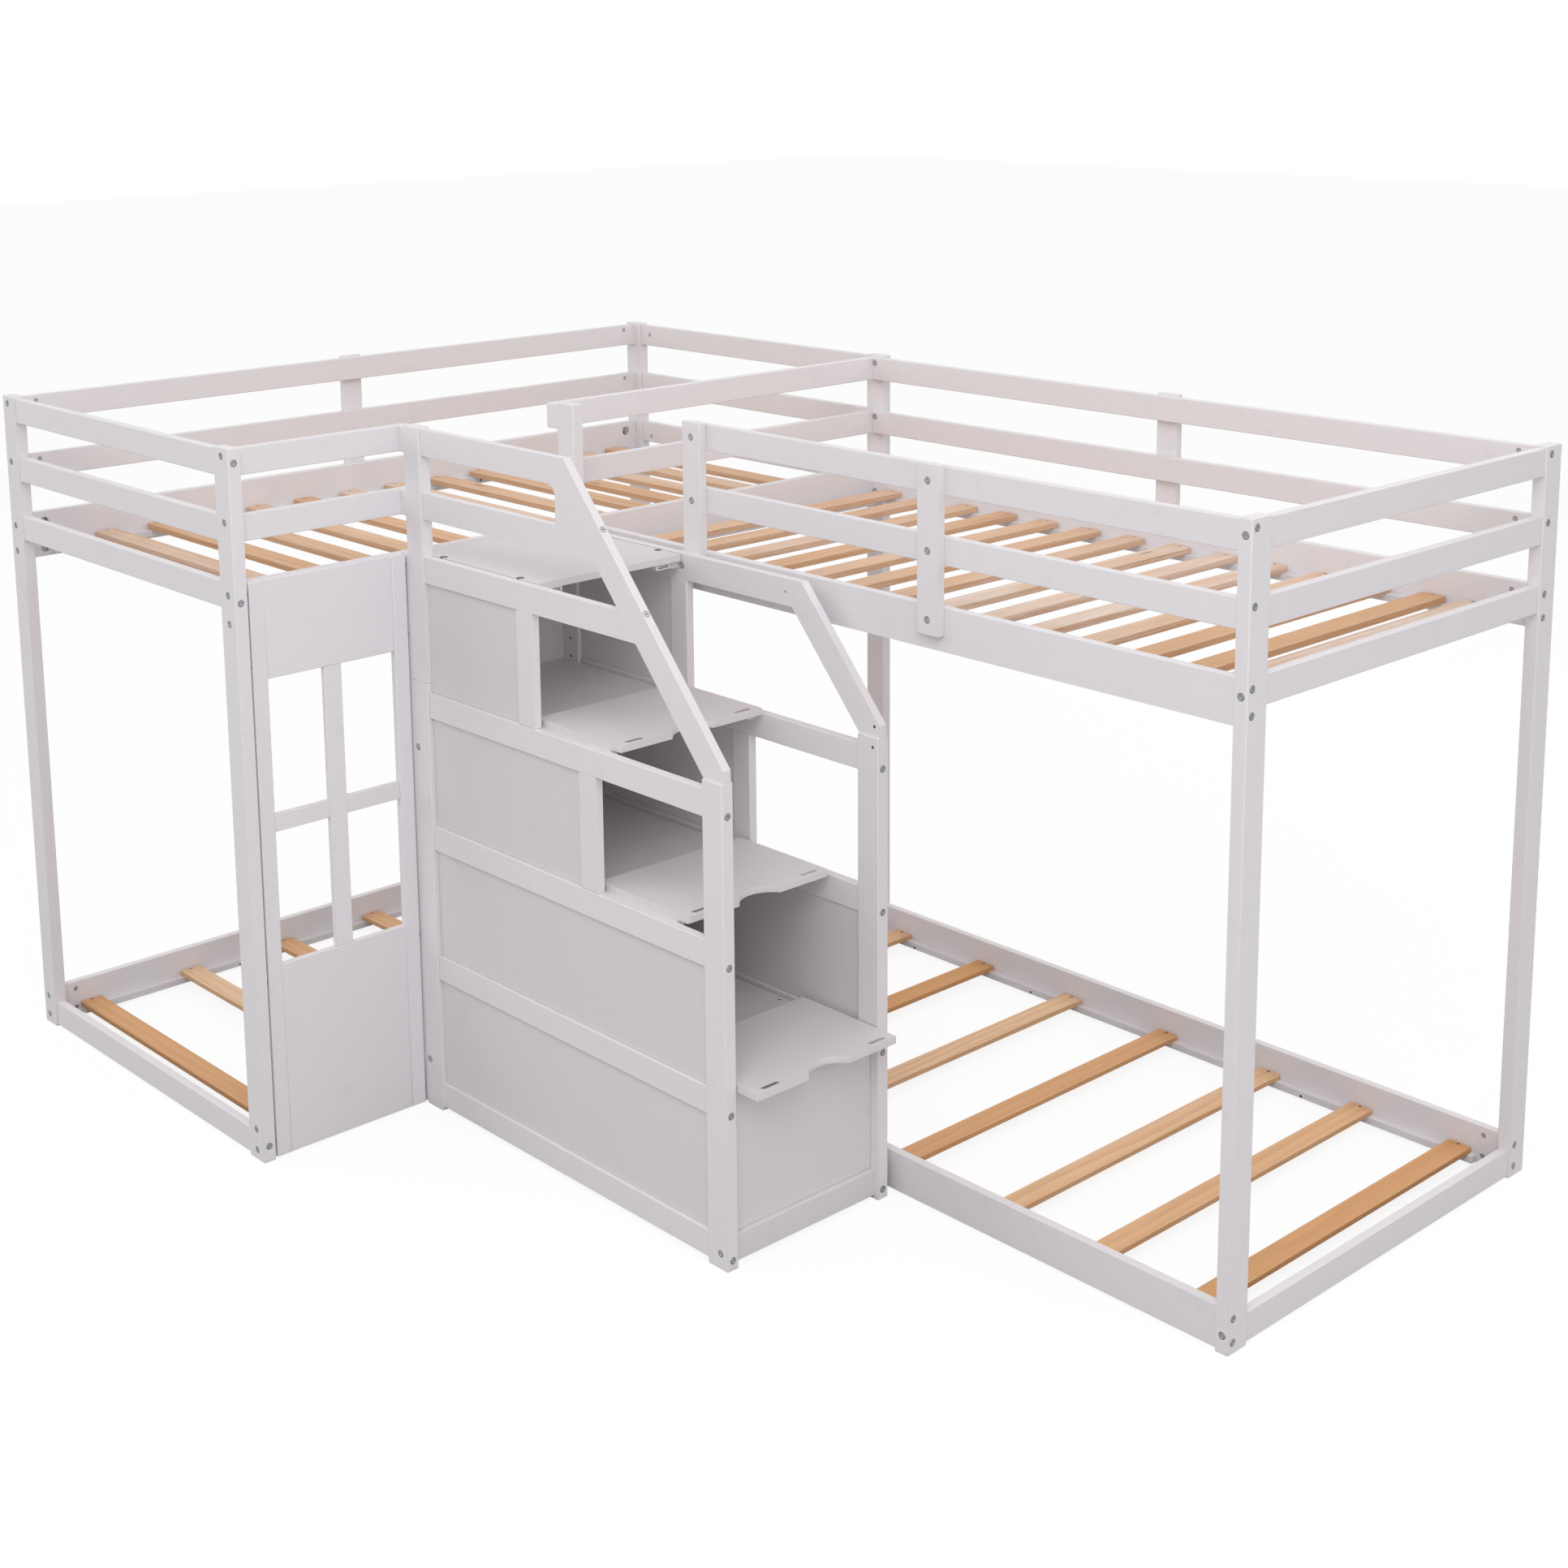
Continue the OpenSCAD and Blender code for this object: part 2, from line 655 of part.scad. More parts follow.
// Flat uprights on the wall side of the guards
module wall_uprights() {
    color(paint) place() drilled([], wall_upright_bolts) {
        board([0, wall_upright_y, left_rail_z], [left_wall_x, wall_upright_y + upright_w, post_h]);
        board([wall_upright_x, -post_t, right_rail_z],
            [wall_upright_x + upright_w, -post_t + rail_t, post_h]);
    }
}

// Flat uprights outside the front guards
module front_uprights() {
    color(paint) place() drilled([], concat(upright_bolts, tie_bolt))
        for (x = front_upright_xs)
            board([x, front_upright_y, bed_top - end_rail_h], [x + upright_w, right_front_y, post_h]);
}

// A pair of ledgers along y, against two rails
module ledgers_y(z) {
    for (x = [left_wall_x + rail_t, inner_x - ledger])
        board([x, foot_in + ledger_gap, z], [x + ledger, -post_t - ledger_gap, z + ledger]);
}

// A pair of ledgers along x, against two rails
module ledgers_x(z) {
    for (y = [right_wall_y - ledger, right_front_y + rail_t])
        board([inner_x + rail_t + ledger_gap, y, z], [end_in - ledger_gap, y + ledger, z + ledger]);
}

module upper_ledgers() {
    color(paint) place() difference() {
        union() {
            ledgers_y(left_ledger_z);
            ledgers_x(right_ledger_z);
        }
        upper_slat_screws(screw_play);
        upper_ledger_screws(screw_play);
    }
}

module lower_ledgers() {
    color(paint) place() difference() {
        union() {
            ledgers_y(low_ledger_z);
            ledgers_x(low_ledger_z);
        }
        lower_slat_screws(screw_play);
        lower_ledger_screws(screw_play);
    }
}

// Screws through the ledgers into the rails: five in each, the first near its free end
ledger_screw_l = ledger + 8;
ledger_screw_up = 5;
ledger_screw_free = 30;
ledger_screw_wall = 200;
ledger_screws = 5;
function spread(first, last, count) = [for (i = [0:count - 1]) first + i * (last - first) / (count - 1)];
module ledger_screws_left(z, play = 0) {
    for (y = spread(foot_in + ledger_gap + ledger_screw_free, -ledger_screw_wall, ledger_screws)) {
        facing([left_wall_x + rail_t + ledger, y, z + ledger_screw_up], [-1, 0, 0])
            sunk_screw(ledger_screw_l, play);
        facing([inner_x - ledger, y, z + ledger_screw_up], [1, 0, 0]) sunk_screw(ledger_screw_l, play);
    }
}

module ledger_screws_right(z, play = 0) {
    for (x = spread(end_in - ledger_gap - ledger_screw_free, inner_x + ledger_screw_wall, ledger_screws)) {
        facing([x, right_wall_y - ledger, z + ledger_screw_up], [0, 1, 0])
            sunk_screw(ledger_screw_l, play);
        facing([x, right_front_y + rail_t + ledger, z + ledger_screw_up], [0, -1, 0])
            sunk_screw(ledger_screw_l, play);
    }
}

module upper_ledger_screws(play = 0) {
    ledger_screws_left(left_ledger_z, play);
    ledger_screws_right(right_ledger_z, play);
}

module lower_ledger_screws(play = 0) {
    ledger_screws_left(low_ledger_z, play);
    ledger_screws_right(low_ledger_z, play);
}

// Slats across the left bed, from the list of their centres
module slats_left(ys, z, t) {
    for (y = ys)
        difference() {
            board([left_wall_x + rail_t + slat_gap, y - slat_w / 2, z],
                [inner_x - slat_gap, y + slat_w / 2, z + t]);
            slat_screws_left(y, z, t, screw_play);
        }
}

// Slats across the right bed, from the list of their centres
module slats_right(xs, z, t) {
    for (x = xs)
        difference() {
            board([x - slat_w / 2, right_front_y + rail_t + slat_gap, z],
                [x + slat_w / 2, right_wall_y - slat_gap, z + t]);
            slat_screws_right(x, z, t, screw_play);
        }
}

// The two screws of one slat, or their holes when play is given
module slat_screws_left(y, z, t, play = 0) {
    for (x = [left_wall_x + rail_t + ledger / 2, inner_x - ledger / 2])
        facing([x, y, z + t], [0, 0, -1]) sunk_screw(t + screw_grip, play);
}

module slat_screws_right(x, z, t, play = 0) {
    for (y = [right_wall_y - ledger / 2, right_front_y + rail_t + ledger / 2])
        facing([x, y, z + t], [0, 0, -1]) sunk_screw(t + screw_grip, play);
}

module upper_slat_screws(play = 0) {
    for (y = left_ys)
        slat_screws_left(y, left_ledger_z + ledger, slat_t, play);
    for (x = right_xs)
        slat_screws_right(x, right_ledger_z + ledger, slat_t, play);
}

module lower_slat_screws(play = 0) {
    for (y = low_left_ys)
        slat_screws_left(y, low_ledger_z + ledger, low_slat_t, play);
    for (x = low_right_xs)
        slat_screws_right(x, low_ledger_z + ledger, low_slat_t, play);
}

// A screw let in from the face at z = 0, or its hole when play is given
module sunk_screw(length, play = 0) {
    top = play > 0 ? -1 : screw_sink;
    translate([0, 0, top]) cylinder(d = screw_d + 2 * play, h = 2 + play - top);
    translate([0, 0, top]) cylinder(d = screw_d / 2 + 2 * play, h = length + play - top);
}

module left_upper_slats() {
    color(pine) place() slats_left(left_ys, left_ledger_z + ledger, slat_t);
}

module right_upper_slats() {
    color(pine) place() slats_right(right_xs, right_ledger_z + ledger, slat_t);
}

module left_lower_slats() {
    color(plywood) place() slats_left(low_left_ys, low_ledger_z + ledger, low_slat_t);
}

module right_lower_slats() {
    color(plywood) place() slats_right(low_right_xs, low_ledger_z + ledger, low_slat_t);
}

// Side stiles of the window panel
module window_stiles() {
    color(paint) place() difference() {
        for (y = [window_y, window_y + window_w - window_stile])
            board([window_x, y, window_z], [window_x + window_t, y + window_stile, window_z + window_h]);
        window_pin_holes(-1);
        window_pin_holes(1);
    }
}

board_in = 1;
bar_in = 2;
module window_boards() {
    y0 = window_y + window_stile;
    y1 = window_y + window_w - window_stile;
    color(paint) place() {
        board([window_x + board_in, y0, window_z],
            [window_x + window_t - board_in, y1, window_z + window_low]);
        board([window_x + board_in, y0, window_z + window_h - window_top],
            [window_x + window_t - board_in, y1, window_z + window_h]);
    }
}

// The upright bar, and a cross bar cut in two by it
module window_bars() {
    y0 = window_y + window_stile;
    y1 = window_y + window_w - window_stile;
    low = window_z + window_low;
    high = window_z + window_h - window_top;
    mid = (y0 + y1) / 2;
    cross = low + window_cross_up;
    color(paint) place() {
        board([window_x + bar_in, mid - window_bar / 2, low],
            [window_x + window_t - bar_in, mid + window_bar / 2, high]);
        board([window_x + bar_in, y0, cross],
            [window_x + window_t - bar_in, mid - window_bar / 2 - board_gap, cross + window_cross]);
        board([window_x + bar_in, mid + window_bar / 2 + board_gap, cross],
            [window_x + window_t - bar_in, y1, cross + window_cross]);
    }
}

// Pins that bridge the gap beside the panel: side -1 at the foot post, 1 at the stairs
pin_zs = [40, 423, 1150, 1315];
pin_reach = 12;
module window_pin_rods(side, play = 0) {
    y = side < 0 ? window_y - window_gap / 2 : window_y + window_w + window_gap / 2;
    for (z = pin_zs)
        translate([window_x + window_t / 2, y, z]) rotate([90, 0, 0])
            cylinder(d = bolt_d + 2 * play, h = window_gap + 2 * pin_reach + 4 * play, center = true);
}

module window_pin_holes(side) {
    window_pin_rods(side, bolt_play);
}

// Lower stair posts, each to its joint height
module stair_post(x, y, low, high) {
    board([x, y, low], [x + post_w, y + post_t, high]);
}

module stair_near_posts() {
    color(paint) place() difference() {
        drilled(near_rail_bolts, concat(back_rail_bolts, riser_bolts)) {
            stair_post(stair_x, near_y, 0, joint_z);
            stair_post(stair_out, near_y, 0, joint_z);
        }
        joint_screws(screw_play);
    }
}

module stair_far_posts() {
    color(paint) place() difference() {
        drilled(far_rail_bolts, concat(back_rail_bolts, riser_bolts)) {
            stair_post(stair_x, far_y, 0, joint_z);
            stair_post(stair_out, far_y, 0, joint_z);
        }
        joint_screws(screw_play);
    }
}

// Upper parts of the two posts beside the left bed
module stair_guard_posts() {
    color(paint) place() difference() {
        drilled(concat(near_guard_bolts, far_guard_bolts)) {
            stair_post(stair_x, near_y, joint_z, post_h);
            stair_post(stair_x, far_y, joint_z, post_h);
        }
        joint_screws(screw_play);
    }
}

// Extrudes an outline drawn in x and z to a board of rail thickness
module upright_board(y) {
    translate([0, y + rail_t, 0]) rotate([90, 0, 0]) linear_extrude(rail_t) children();
}

// Round caps of the two bolts let into the sloping edge of the near guard
cap_d = 12;
cap_h = 3;
cap_ups = [12, 5];
cap_zs = [guard_zs[1] + guard_h + cap_ups[0], bed_top + cap_ups[1]];
module guard_caps(play = 0) {
    for (z = cap_zs)
        translate([hand_top_x(z), near_rail_y + rail_t / 2, z]) rotate([0, hand_slope, 0])
            translate([0, 0, -bolt_reach]) {
                cylinder(d = bolt_d + 2 * play, h = bolt_reach - 1);
                translate([0, 0, bolt_reach - cap_h])
                    cylinder(d = cap_d + 2 * play, h = play > 0 ? cap_h + 2 : cap_h);
            }
}

// Screws either side of the joints in the stair posts: inside the near frame, outside the far one
joint_low = joint_z - post_joint;
joint_high = joint_z + post_joint;
joint_xs = [stair_x + post_w / 2, stair_end - post_t / 2];
module joint_screws(play = 0) {
    for (x = joint_xs) {
        facing([x, near_post_in, joint_low], [0, -1, 0]) sunk_screw(joint_screw_l, play);
        facing([x, far_y, joint_low], [0, 1, 0]) sunk_screw(joint_screw_l, play);
    }
    facing([joint_xs[0], near_post_in, joint_high], [0, -1, 0]) sunk_screw(joint_screw_l, play);
    facing([joint_xs[0], far_y, joint_high], [0, 1, 0]) sunk_screw(joint_screw_l, play);
    facing([joint_xs[1], near_in, joint_high], [0, -1, 0]) sunk_screw(joint_screw_l, play);
    facing([joint_xs[1], far_rail_y, joint_high], [0, 1, 0]) sunk_screw(joint_screw_l, play);
}

// Near guard: three rails and the sloping handrail, glued up as one board
module near_guard() {
    color(paint) place() difference() {
        drilled(near_guard_bolts) upright_board(near_rail_y) near_guard_outline();
        guard_caps(screw_play);
        joint_screws(screw_play);
    }
}

module near_guard_outline() {
    open_x = stair_in + guard_open;
    difference() {
        polygon([[stair_in, guard_top], [hand_top_x(guard_top), guard_top], [stair_end, hand_corner],
            [stair_end, joint_z], [stair_out, joint_z], [stair_out, hand_corner + post_w * hand_rise
            - hand_drop], [hand_low_x(bed_top - stair_rail_h), bed_top - stair_rail_h],
            [stair_in, bed_top - stair_rail_h]]);
        difference() {
            translate([stair_in - 1, guard_zs[1] + guard_h]) square([guard_open + 1, guard_gap]);
            translate([open_x - guard_corner, guard_zs[0] - guard_corner]) difference() {
                square(guard_corner + 1);
                circle(guard_corner);
            }
        }
        polygon([[stair_in - 1, bed_top], [hand_low_x(bed_top), bed_top],
            [hand_low_x(guard_zs[1]), guard_zs[1]], [stair_in - 1, guard_zs[1]]]);
    }
}

// Far side: the top rail, and the sloping handrail that starts at its end
// A spare dowel hole: place along the rail, drop, diameter, depth
spare_hole = [725, 30, 7, 12];
module far_handrail() {
    low = bed_top - stair_rail_h;
    color(paint) place() difference() {
        union() {
            drilled(far_guard_bolts, tie_bolt) upright_board(far_rail_y)
                polygon([[stair_in, low], [hand_low_x(low) - board_gap, low],
                    [hand_top_x(bed_top) - board_gap, bed_top], [stair_in, bed_top]]);
            upright_board(far_rail_y)
                polygon([[hand_low_x(low), low], [hand_top_x(bed_top), bed_top],
                    [stair_end, hand_corner], [stair_end, joint_z], [stair_out, joint_z],
                    [stair_out, hand_corner + post_w * hand_rise - hand_drop]]);
        }
        joint_screws(screw_play);
        facing([stair_in + spare_hole[0], far_rail_y - 1, bed_top - spare_hole[1]], [0, 1, 0])
            cylinder(d = spare_hole[2], h = spare_hole[3]);
    }
}

// Four rails between the stair posts
module side_rails(y, rows) {
    for (i = [0:3])
        rail_x(stair_in, stair_out, y, rail_top(i) - stair_rail_h, stair_rail_h, rows);
}

module near_side_rails() {
    color(paint) place() side_rails(near_rail_y, near_rail_bolts);
}

module far_side_rails() {
    color(paint) place() side_rails(far_rail_y, far_rail_bolts);
}

// Front end of the closed side at each level: to the post, or to the stile behind a lid
function closed_end(i) = i < 2 ? stair_out : pivot_x(i) - stile_w / 2;

// Flat panels between the side rails, set back from their faces
module side_panels(y) {
    for (i = [0:3])
        board([stair_in, y, rail_top(i)],
            [closed_end(i), y + panel_t, rail_top(i + 1) - stair_rail_h]);
}

module near_side_panels() {
    color(panel_paint) place() difference() {
        side_panels(near_in - panel_in - panel_t);
        lid_pin_holes(1);
    }
}

module far_side_panels() {
    color(panel_paint) place() difference() {
        side_panels(far_in + panel_in);
        lid_pin_holes(1);
    }
}

// Vertical stiles beside the two side openings, in both frames
module stair_stiles() {
    color(paint) place() difference() {
        for (i = [2:3], y = [near_rail_y, far_rail_y])
            board([closed_end(i), y, rail_top(i)],
                [closed_end(i) + stile_w, y + rail_t, rail_top(i + 1) - stair_rail_h]);
        lid_pin_holes(2);
        lid_pin_holes(3);
    }
}

// The thin back panel, and the two cross rails between the posts that carry it
module stair_back_panel() {
    color(panel_paint) place() {
        board([back_rail_x - panel_t, near_post_in + panel_play, kick_gap],
            [back_rail_x, far_y - panel_play, bed_top - platform_t - panel_play]);
        drilled([], back_rail_bolts)
            for (z = back_rail_zs)
                board([back_rail_x, near_post_in, z - stair_rail_h / 2],
                    [back_rail_x + rail_t, far_y, z + stair_rail_h / 2]);
    }
}

// The floor of the box, and the fixed shelf behind each lid
panel_play = 1;
floor_cleat = cleat - 2;
floor_z = kick_gap + floor_cleat;
module stair_shelves() {
    color(panel_paint) place() {
        board([stair_in, near_post_in, floor_z], [riser_x, far_y, floor_z + panel_t]);
        for (i = [1:3])
            difference() {
                board([back_rail_x, near_post_in, shelf_top(i) - panel_t],
                    [lid_back(i) - lid_back_gap, far_y, shelf_top(i)]);
                shelf_screws(i, screw_play);
            }
    }
}

// Screws through a shelf into its cleats
shelf_screw_in = 18;
shelf_screw_ends = [90, 60];
module shelf_screws(i, play = 0) {
    for (x = [stair_in + shelf_screw_ends[0], lid_back(i) - shelf_screw_ends[1]],
        y = [near_in + shelf_screw_in, far_in - shelf_screw_in])
        facing([x, y, shelf_top(i)], [0, 0, -1]) sunk_screw(panel_t + screw_grip, play);
}

// Two cleats on the inner faces of the side rails: from x0 to x1, with the given top
module cleat_pair(x0, x1, top, h = cleat) {
    for (y = [near_in, far_in - cleat_w])
        board([x0, y, top - h], [x1, y + cleat_w, top]);
}

lid_cleat_short = 30;
platform_cleat_short = 12;
function lid_cleat_end(i) = min(stair_out, lid_front(i) - lid_cleat_short);
module stair_cleats() {
    color(panel_paint) place() difference() {
        union() {
            cleat_pair(stair_in, stair_out, floor_z, floor_cleat);
            for (i = [1:3]) {
                cleat_pair(stair_in, lid_back(i) - lid_back_gap, shelf_top(i) - panel_t);
                cleat_pair(lid_back(i), lid_cleat_end(i), rail_top(i));
            }
            cleat_pair(stair_in, platform_end - platform_cleat_short, bed_top - platform_t);
        }
        for (i = [1:3])
            shelf_screws(i, screw_play);
        platform_discs(screw_play);
    }
}

// The kick rail and the riser panel under the first step
module stair_riser() {
    color(panel_paint) place() drilled([], riser_bolts) {
        board([riser_x, near_post_in, kick_gap], [riser_x + rail_t, far_y, first_top]);
        board([riser_x, near_post_in, first_top + board_gap], [riser_x + panel_t, far_y, rail_top(1)]);
    }
}

// Fixed platform at the top, screwed down to its cleats
platform_screw_ends = [29, 70];
platform_screw_in = 14;
platform_screw_xs = [stair_in + platform_screw_ends[0], platform_end - platform_screw_ends[1]];
platform_screw_ys = [near_in + platform_screw_in, far_in - platform_screw_in];
module top_platform() {
    color(panel_paint) place() difference() {
        board([platform_x, near_post_in + platform_play, bed_top - platform_t],
            [platform_end, far_y - platform_play, bed_top]);
        platform_discs(screw_play);
    }
}

disc_h = 2.4;
disc_proud = 0.4;
module platform_discs(play = 0) {
    for (x = platform_screw_xs, y = platform_screw_ys)
        facing([x, y, bed_top], [0, 0, -1]) {
            translate([0, 0, -disc_proud]) cylinder(d = disc_d + 2 * play, h = disc_h);
            cylinder(d = bolt_d + 2 * play, h = platform_t + screw_grip + play);
        }
}

// Packing between the stair box and the two beds
module stair_spacers() {
    x0 = inner_x + rail_t;
    color(paint) place() {
        difference() {
            board([x0, near_y, floor_gap], [stair_x, near_post_in, bed_top]);
            window_pin_holes(1);
        }
        for (z = guard_zs, y = [near_y, far_y])
            board([x0, y, z], [stair_x, y + post_t, z + guard_h]);
        board([x0, far_y, left_rail_z], [stair_x, far_y + post_t, bed_top]);
        board([x0, far_y, floor_gap], [stair_x, far_y + post_t, floor_gap + floor_rail_h]);
        drilled([], tie_bolt)
            board([front_upright_xs[0], far_rail_y + rail_t, bed_top - end_rail_h],
                [front_upright_xs[0] + upright_w, front_upright_y, bed_top]);
    }
}

// Outline of a lid seen from above: front corners rounded, a finger notch in the front edge
lid_corner = 5;
notch_r = (pow(notch_w / 2, 2) + pow(notch_d, 2)) / (2 * notch_d);
notch_c = notch_r - notch_d;
module lid_outline() {
    back = -lid_l + lid_t / 2;
    difference() {
        union() {
            translate([back, -lid_w / 2]) square([lid_l - lid_t / 2 - lid_corner, lid_w]);
            translate([back, -lid_w / 2 + lid_corner])
                square([lid_l - lid_t / 2, lid_w - 2 * lid_corner]);
            for (side = [-1, 1])
                translate([-lid_corner, side * (lid_w / 2 - lid_corner)]) circle(lid_corner);
        }
        translate([notch_c, 0]) circle(notch_r, $fn = 96);
    }
}

// A lift-up step: board with a round back edge that turns on two pins
module step_lid(i) {
    color(panel_paint) place() difference() {
        union() {
            translate([lid_front(i), lid_y + lid_w / 2, rail_top(i)]) linear_extrude(lid_t) lid_outline();
            translate([pivot_x(i), lid_y, pivot_z(i)]) rotate([-90, 0, 0])
                cylinder(d = lid_t, h = lid_w, $fn = 64);
        }
        for (side = [-1, 1])
            lid_pin(i, side, 0.01, pin_in + 1);
        lid_plates(i, 0.05);
    }
}

// One hinge pin, half in the lid and half in the side of the stairs
pin_grip = 6;
pin_out = stair_set_back + lid_side_gap + panel_in + pin_grip;
module lid_pin(i, side, play = 0, depth = pin_in) {
    y = side < 0 ? lid_y : lid_y + lid_w;
    translate([pivot_x(i), y - side * depth, pivot_z(i)]) rotate([side < 0 ? 90 : -90, 0, 0])
        cylinder(d = pin_d + 2 * play, h = depth + pin_out);
}

module lid_pin_holes(i) {
    for (side = [-1, 1])
        lid_pin(i, side, pin_play, pin_in - 1);
}

// Two oval strike plates near the front corners, each with two screw heads
plate_l = 47;
plate_w = 10;
plate_t = 1.5;
plate_sunk = 1;
plate_in = 14;
plate_side = 47;
plate_screw_d = 5;
plate_y = lid_w / 2 - plate_side;
module lid_plates(i, play = 0) {
    for (side = [-1, 1])
        translate([lid_front(i) - plate_in, lid_y + lid_w / 2 + side * plate_y,
            rail_top(i) + lid_t - plate_sunk]) {
            linear_extrude(play > 0 ? 3 : plate_t) {
                square([plate_w + 2 * play, plate_l - plate_w], center = true);
                for (end = [-1, 1])
                    translate([0, end * (plate_l - plate_w) / 2]) circle(d = plate_w + 2 * play);
            }
            for (end = [-1, 1])
                translate([0, end * (plate_l - plate_w) / 2, play > 0 ? 0 : plate_t])
                    cylinder(d = plate_screw_d, h = 0.5);
        }
}

module lid_fittings(i) {
    color(zinc) place() {
        for (side = [-1, 1])
            lid_pin(i, side);
        lid_plates(i);
    }
}

module step_lid_1() { step_lid(1); }
module step_lid_2() { step_lid(2); }
module step_lid_3() { step_lid(3); }
module lid_fittings_1() { lid_fittings(1); }
module lid_fittings_2() { lid_fittings(2); }
module lid_fittings_3() { lid_fittings(3); }

module frame_bolts() {
    color(zinc) place() {
        for (b = concat(nut_bolts, half_nut_bolts))
            facing(b[0], b[1]) bolt(b[2] + bolt_reach);
        for (b = plain_bolts)
            facing(b[0], b[1]) bolt(b[2]);
    }
}

// Barrel nuts, and in the left wall rail the half-round nuts with a hexagon nut behind them
module barrel_nuts() {
    length = rail_t - nut_cover - nut_short;
    color(zinc) place() {
        for (b = nut_bolts)
            difference() {
                facing(b[0] + b[1] * (b[2] + nut_in), b[3]) translate([0, 0, -rail_t / 2 + nut_cover])
                    cylinder(d = nut_d, h = length);
                facing(b[0], b[1]) cylinder(d = bolt_d + 2 * thread_play, h = b[2] + bolt_reach + 5);
            }
        for (b = half_nut_bolts)
            difference() {
                half_nut(b);
                facing(b[0], b[1]) cylinder(d = bolt_d + 2 * thread_play, h = b[2] + bolt_reach + 5);
            }
    }
}

hex_nut_w = 11;
hex_nut_h = 5;
module half_nut(b) {
    at = b[0] + b[1] * (b[2] + nut_in);
    thick = half_nut_depth - nut_short;
    intersection() {
        facing(at, b[3]) translate([0, 0, rail_t / 2 - half_nut_depth])
            cylinder(d = half_nut_d - 2 * nut_play, h = thick);
        facing(at - b[1] * half_nut_d, b[1])
            translate([0, 0, half_nut_d / 2]) cube(half_nut_d + 4, center = true);
    }
    facing(at, b[1]) cylinder(d = hex_nut_w, h = hex_nut_h, $fn = 6);
}

// Small fasteners: screws of slats, ledgers, shelves, platform and post joints, guard caps, window pins
module screws_and_pins() {
    color(zinc) place() {
        upper_slat_screws();
        lower_slat_screws();
        upper_ledger_screws();
        lower_ledger_screws();
        for (i = [1:3])
            shelf_screws(i);
        platform_discs();
        joint_screws();
        guard_caps();
        window_pin_rods(-1);
        window_pin_rods(1);
    }
}

// Magnet catches under the platform's front edge, which hold the third lid open
catch_size = [18, 40, 12];
catch_in = 2;
slot_in = 4;
slot_h = 2;
slot_zs = [3, 7];
module lid_catches() {
    color("white") place() for (side = [-1, 1])
        translate([platform_end - catch_size[0] - catch_in,
            lid_y + lid_w / 2 + side * plate_y - catch_size[1] / 2, bed_top - platform_t - catch_size[2]])
            difference() {
                cube(catch_size);
                for (z = slot_zs)
                    translate([catch_size[0] - slot_in, slot_in, z])
                        cube([slot_in + 1, catch_size[1] - 2 * slot_in, slot_h]);
            }
}

foot_wall_post();
foot_inner_post();
corner_post();
middle_post();
end_wall_post();
end_front_post();
foot_guard_rails();
foot_cross_rails();
head_guard_rails();
head_cross_rails();
end_guard_rails();
end_cross_rails();
left_wall_guard_rails();
left_wall_bed_rail();
left_inner_guard_rails();
left_inner_bed_rail();
left_floor_rails();
divider_guard_rails();
right_wall_guard_rails();
right_wall_bed_rail();
right_front_guard_rails();
right_front_bed_rail();
right_floor_rails();
wall_uprights();
front_uprights();
upper_ledgers();
lower_ledgers();
left_upper_slats();
right_upper_slats();
left_lower_slats();
right_lower_slats();
window_stiles();
window_boards();
window_bars();
stair_near_posts();
stair_far_posts();
stair_guard_posts();
near_guard();
far_handrail();
near_side_rails();
far_side_rails();
near_side_panels();
far_side_panels();
stair_stiles();
stair_back_panel();
stair_shelves();
stair_cleats();
stair_riser();
top_platform();
stair_spacers();
step_lid_1();
step_lid_2();
step_lid_3();
lid_fittings_1();
lid_fittings_2();
lid_fittings_3();
lid_catches();
frame_bolts();
barrel_nuts();
screws_and_pins();
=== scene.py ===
import bmesh
import bpy
import json
import math
import random
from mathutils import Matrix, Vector


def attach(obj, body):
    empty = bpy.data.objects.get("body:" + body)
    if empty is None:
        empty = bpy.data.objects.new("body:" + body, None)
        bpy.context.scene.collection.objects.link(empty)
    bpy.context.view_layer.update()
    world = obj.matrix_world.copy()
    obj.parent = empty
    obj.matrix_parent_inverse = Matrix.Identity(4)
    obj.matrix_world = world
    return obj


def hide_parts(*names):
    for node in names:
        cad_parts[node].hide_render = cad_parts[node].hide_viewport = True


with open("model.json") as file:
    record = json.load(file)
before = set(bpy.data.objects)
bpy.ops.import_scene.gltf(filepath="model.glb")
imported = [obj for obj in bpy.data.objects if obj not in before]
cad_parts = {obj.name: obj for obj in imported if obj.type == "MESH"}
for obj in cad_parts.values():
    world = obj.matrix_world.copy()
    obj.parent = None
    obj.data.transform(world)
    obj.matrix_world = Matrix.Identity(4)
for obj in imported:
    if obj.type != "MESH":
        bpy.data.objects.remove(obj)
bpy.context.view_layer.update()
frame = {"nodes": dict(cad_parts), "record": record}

print("frame loaded:", len(frame["nodes"]), "nodes")

camera = dict(
    place=(3.93554, -3.4767, 2.50794),
    turn=(1.384008, 0.010078, 0.830186),
    lens=53.589, sensor=36, farthest=200,  # millimetres, millimetres, metres
    shift=(0.019416, -0.2),
)


def makeCamera(values):
    data = bpy.data.cameras.new("photoCamera")
    data.sensor_width = values["sensor"]
    data.lens = values["lens"]
    data.shift_x, data.shift_y = values["shift"]
    data.clip_end = values["farthest"]
    thing = bpy.data.objects.new("photoCamera", data)
    thing.location = values["place"]
    thing.rotation_euler = values["turn"]
    bpy.context.scene.collection.objects.link(thing)
    bpy.context.scene.camera = thing


makeCamera(camera)
bpy.context.scene.view_settings.view_transform = "Standard"
print("camera placed")


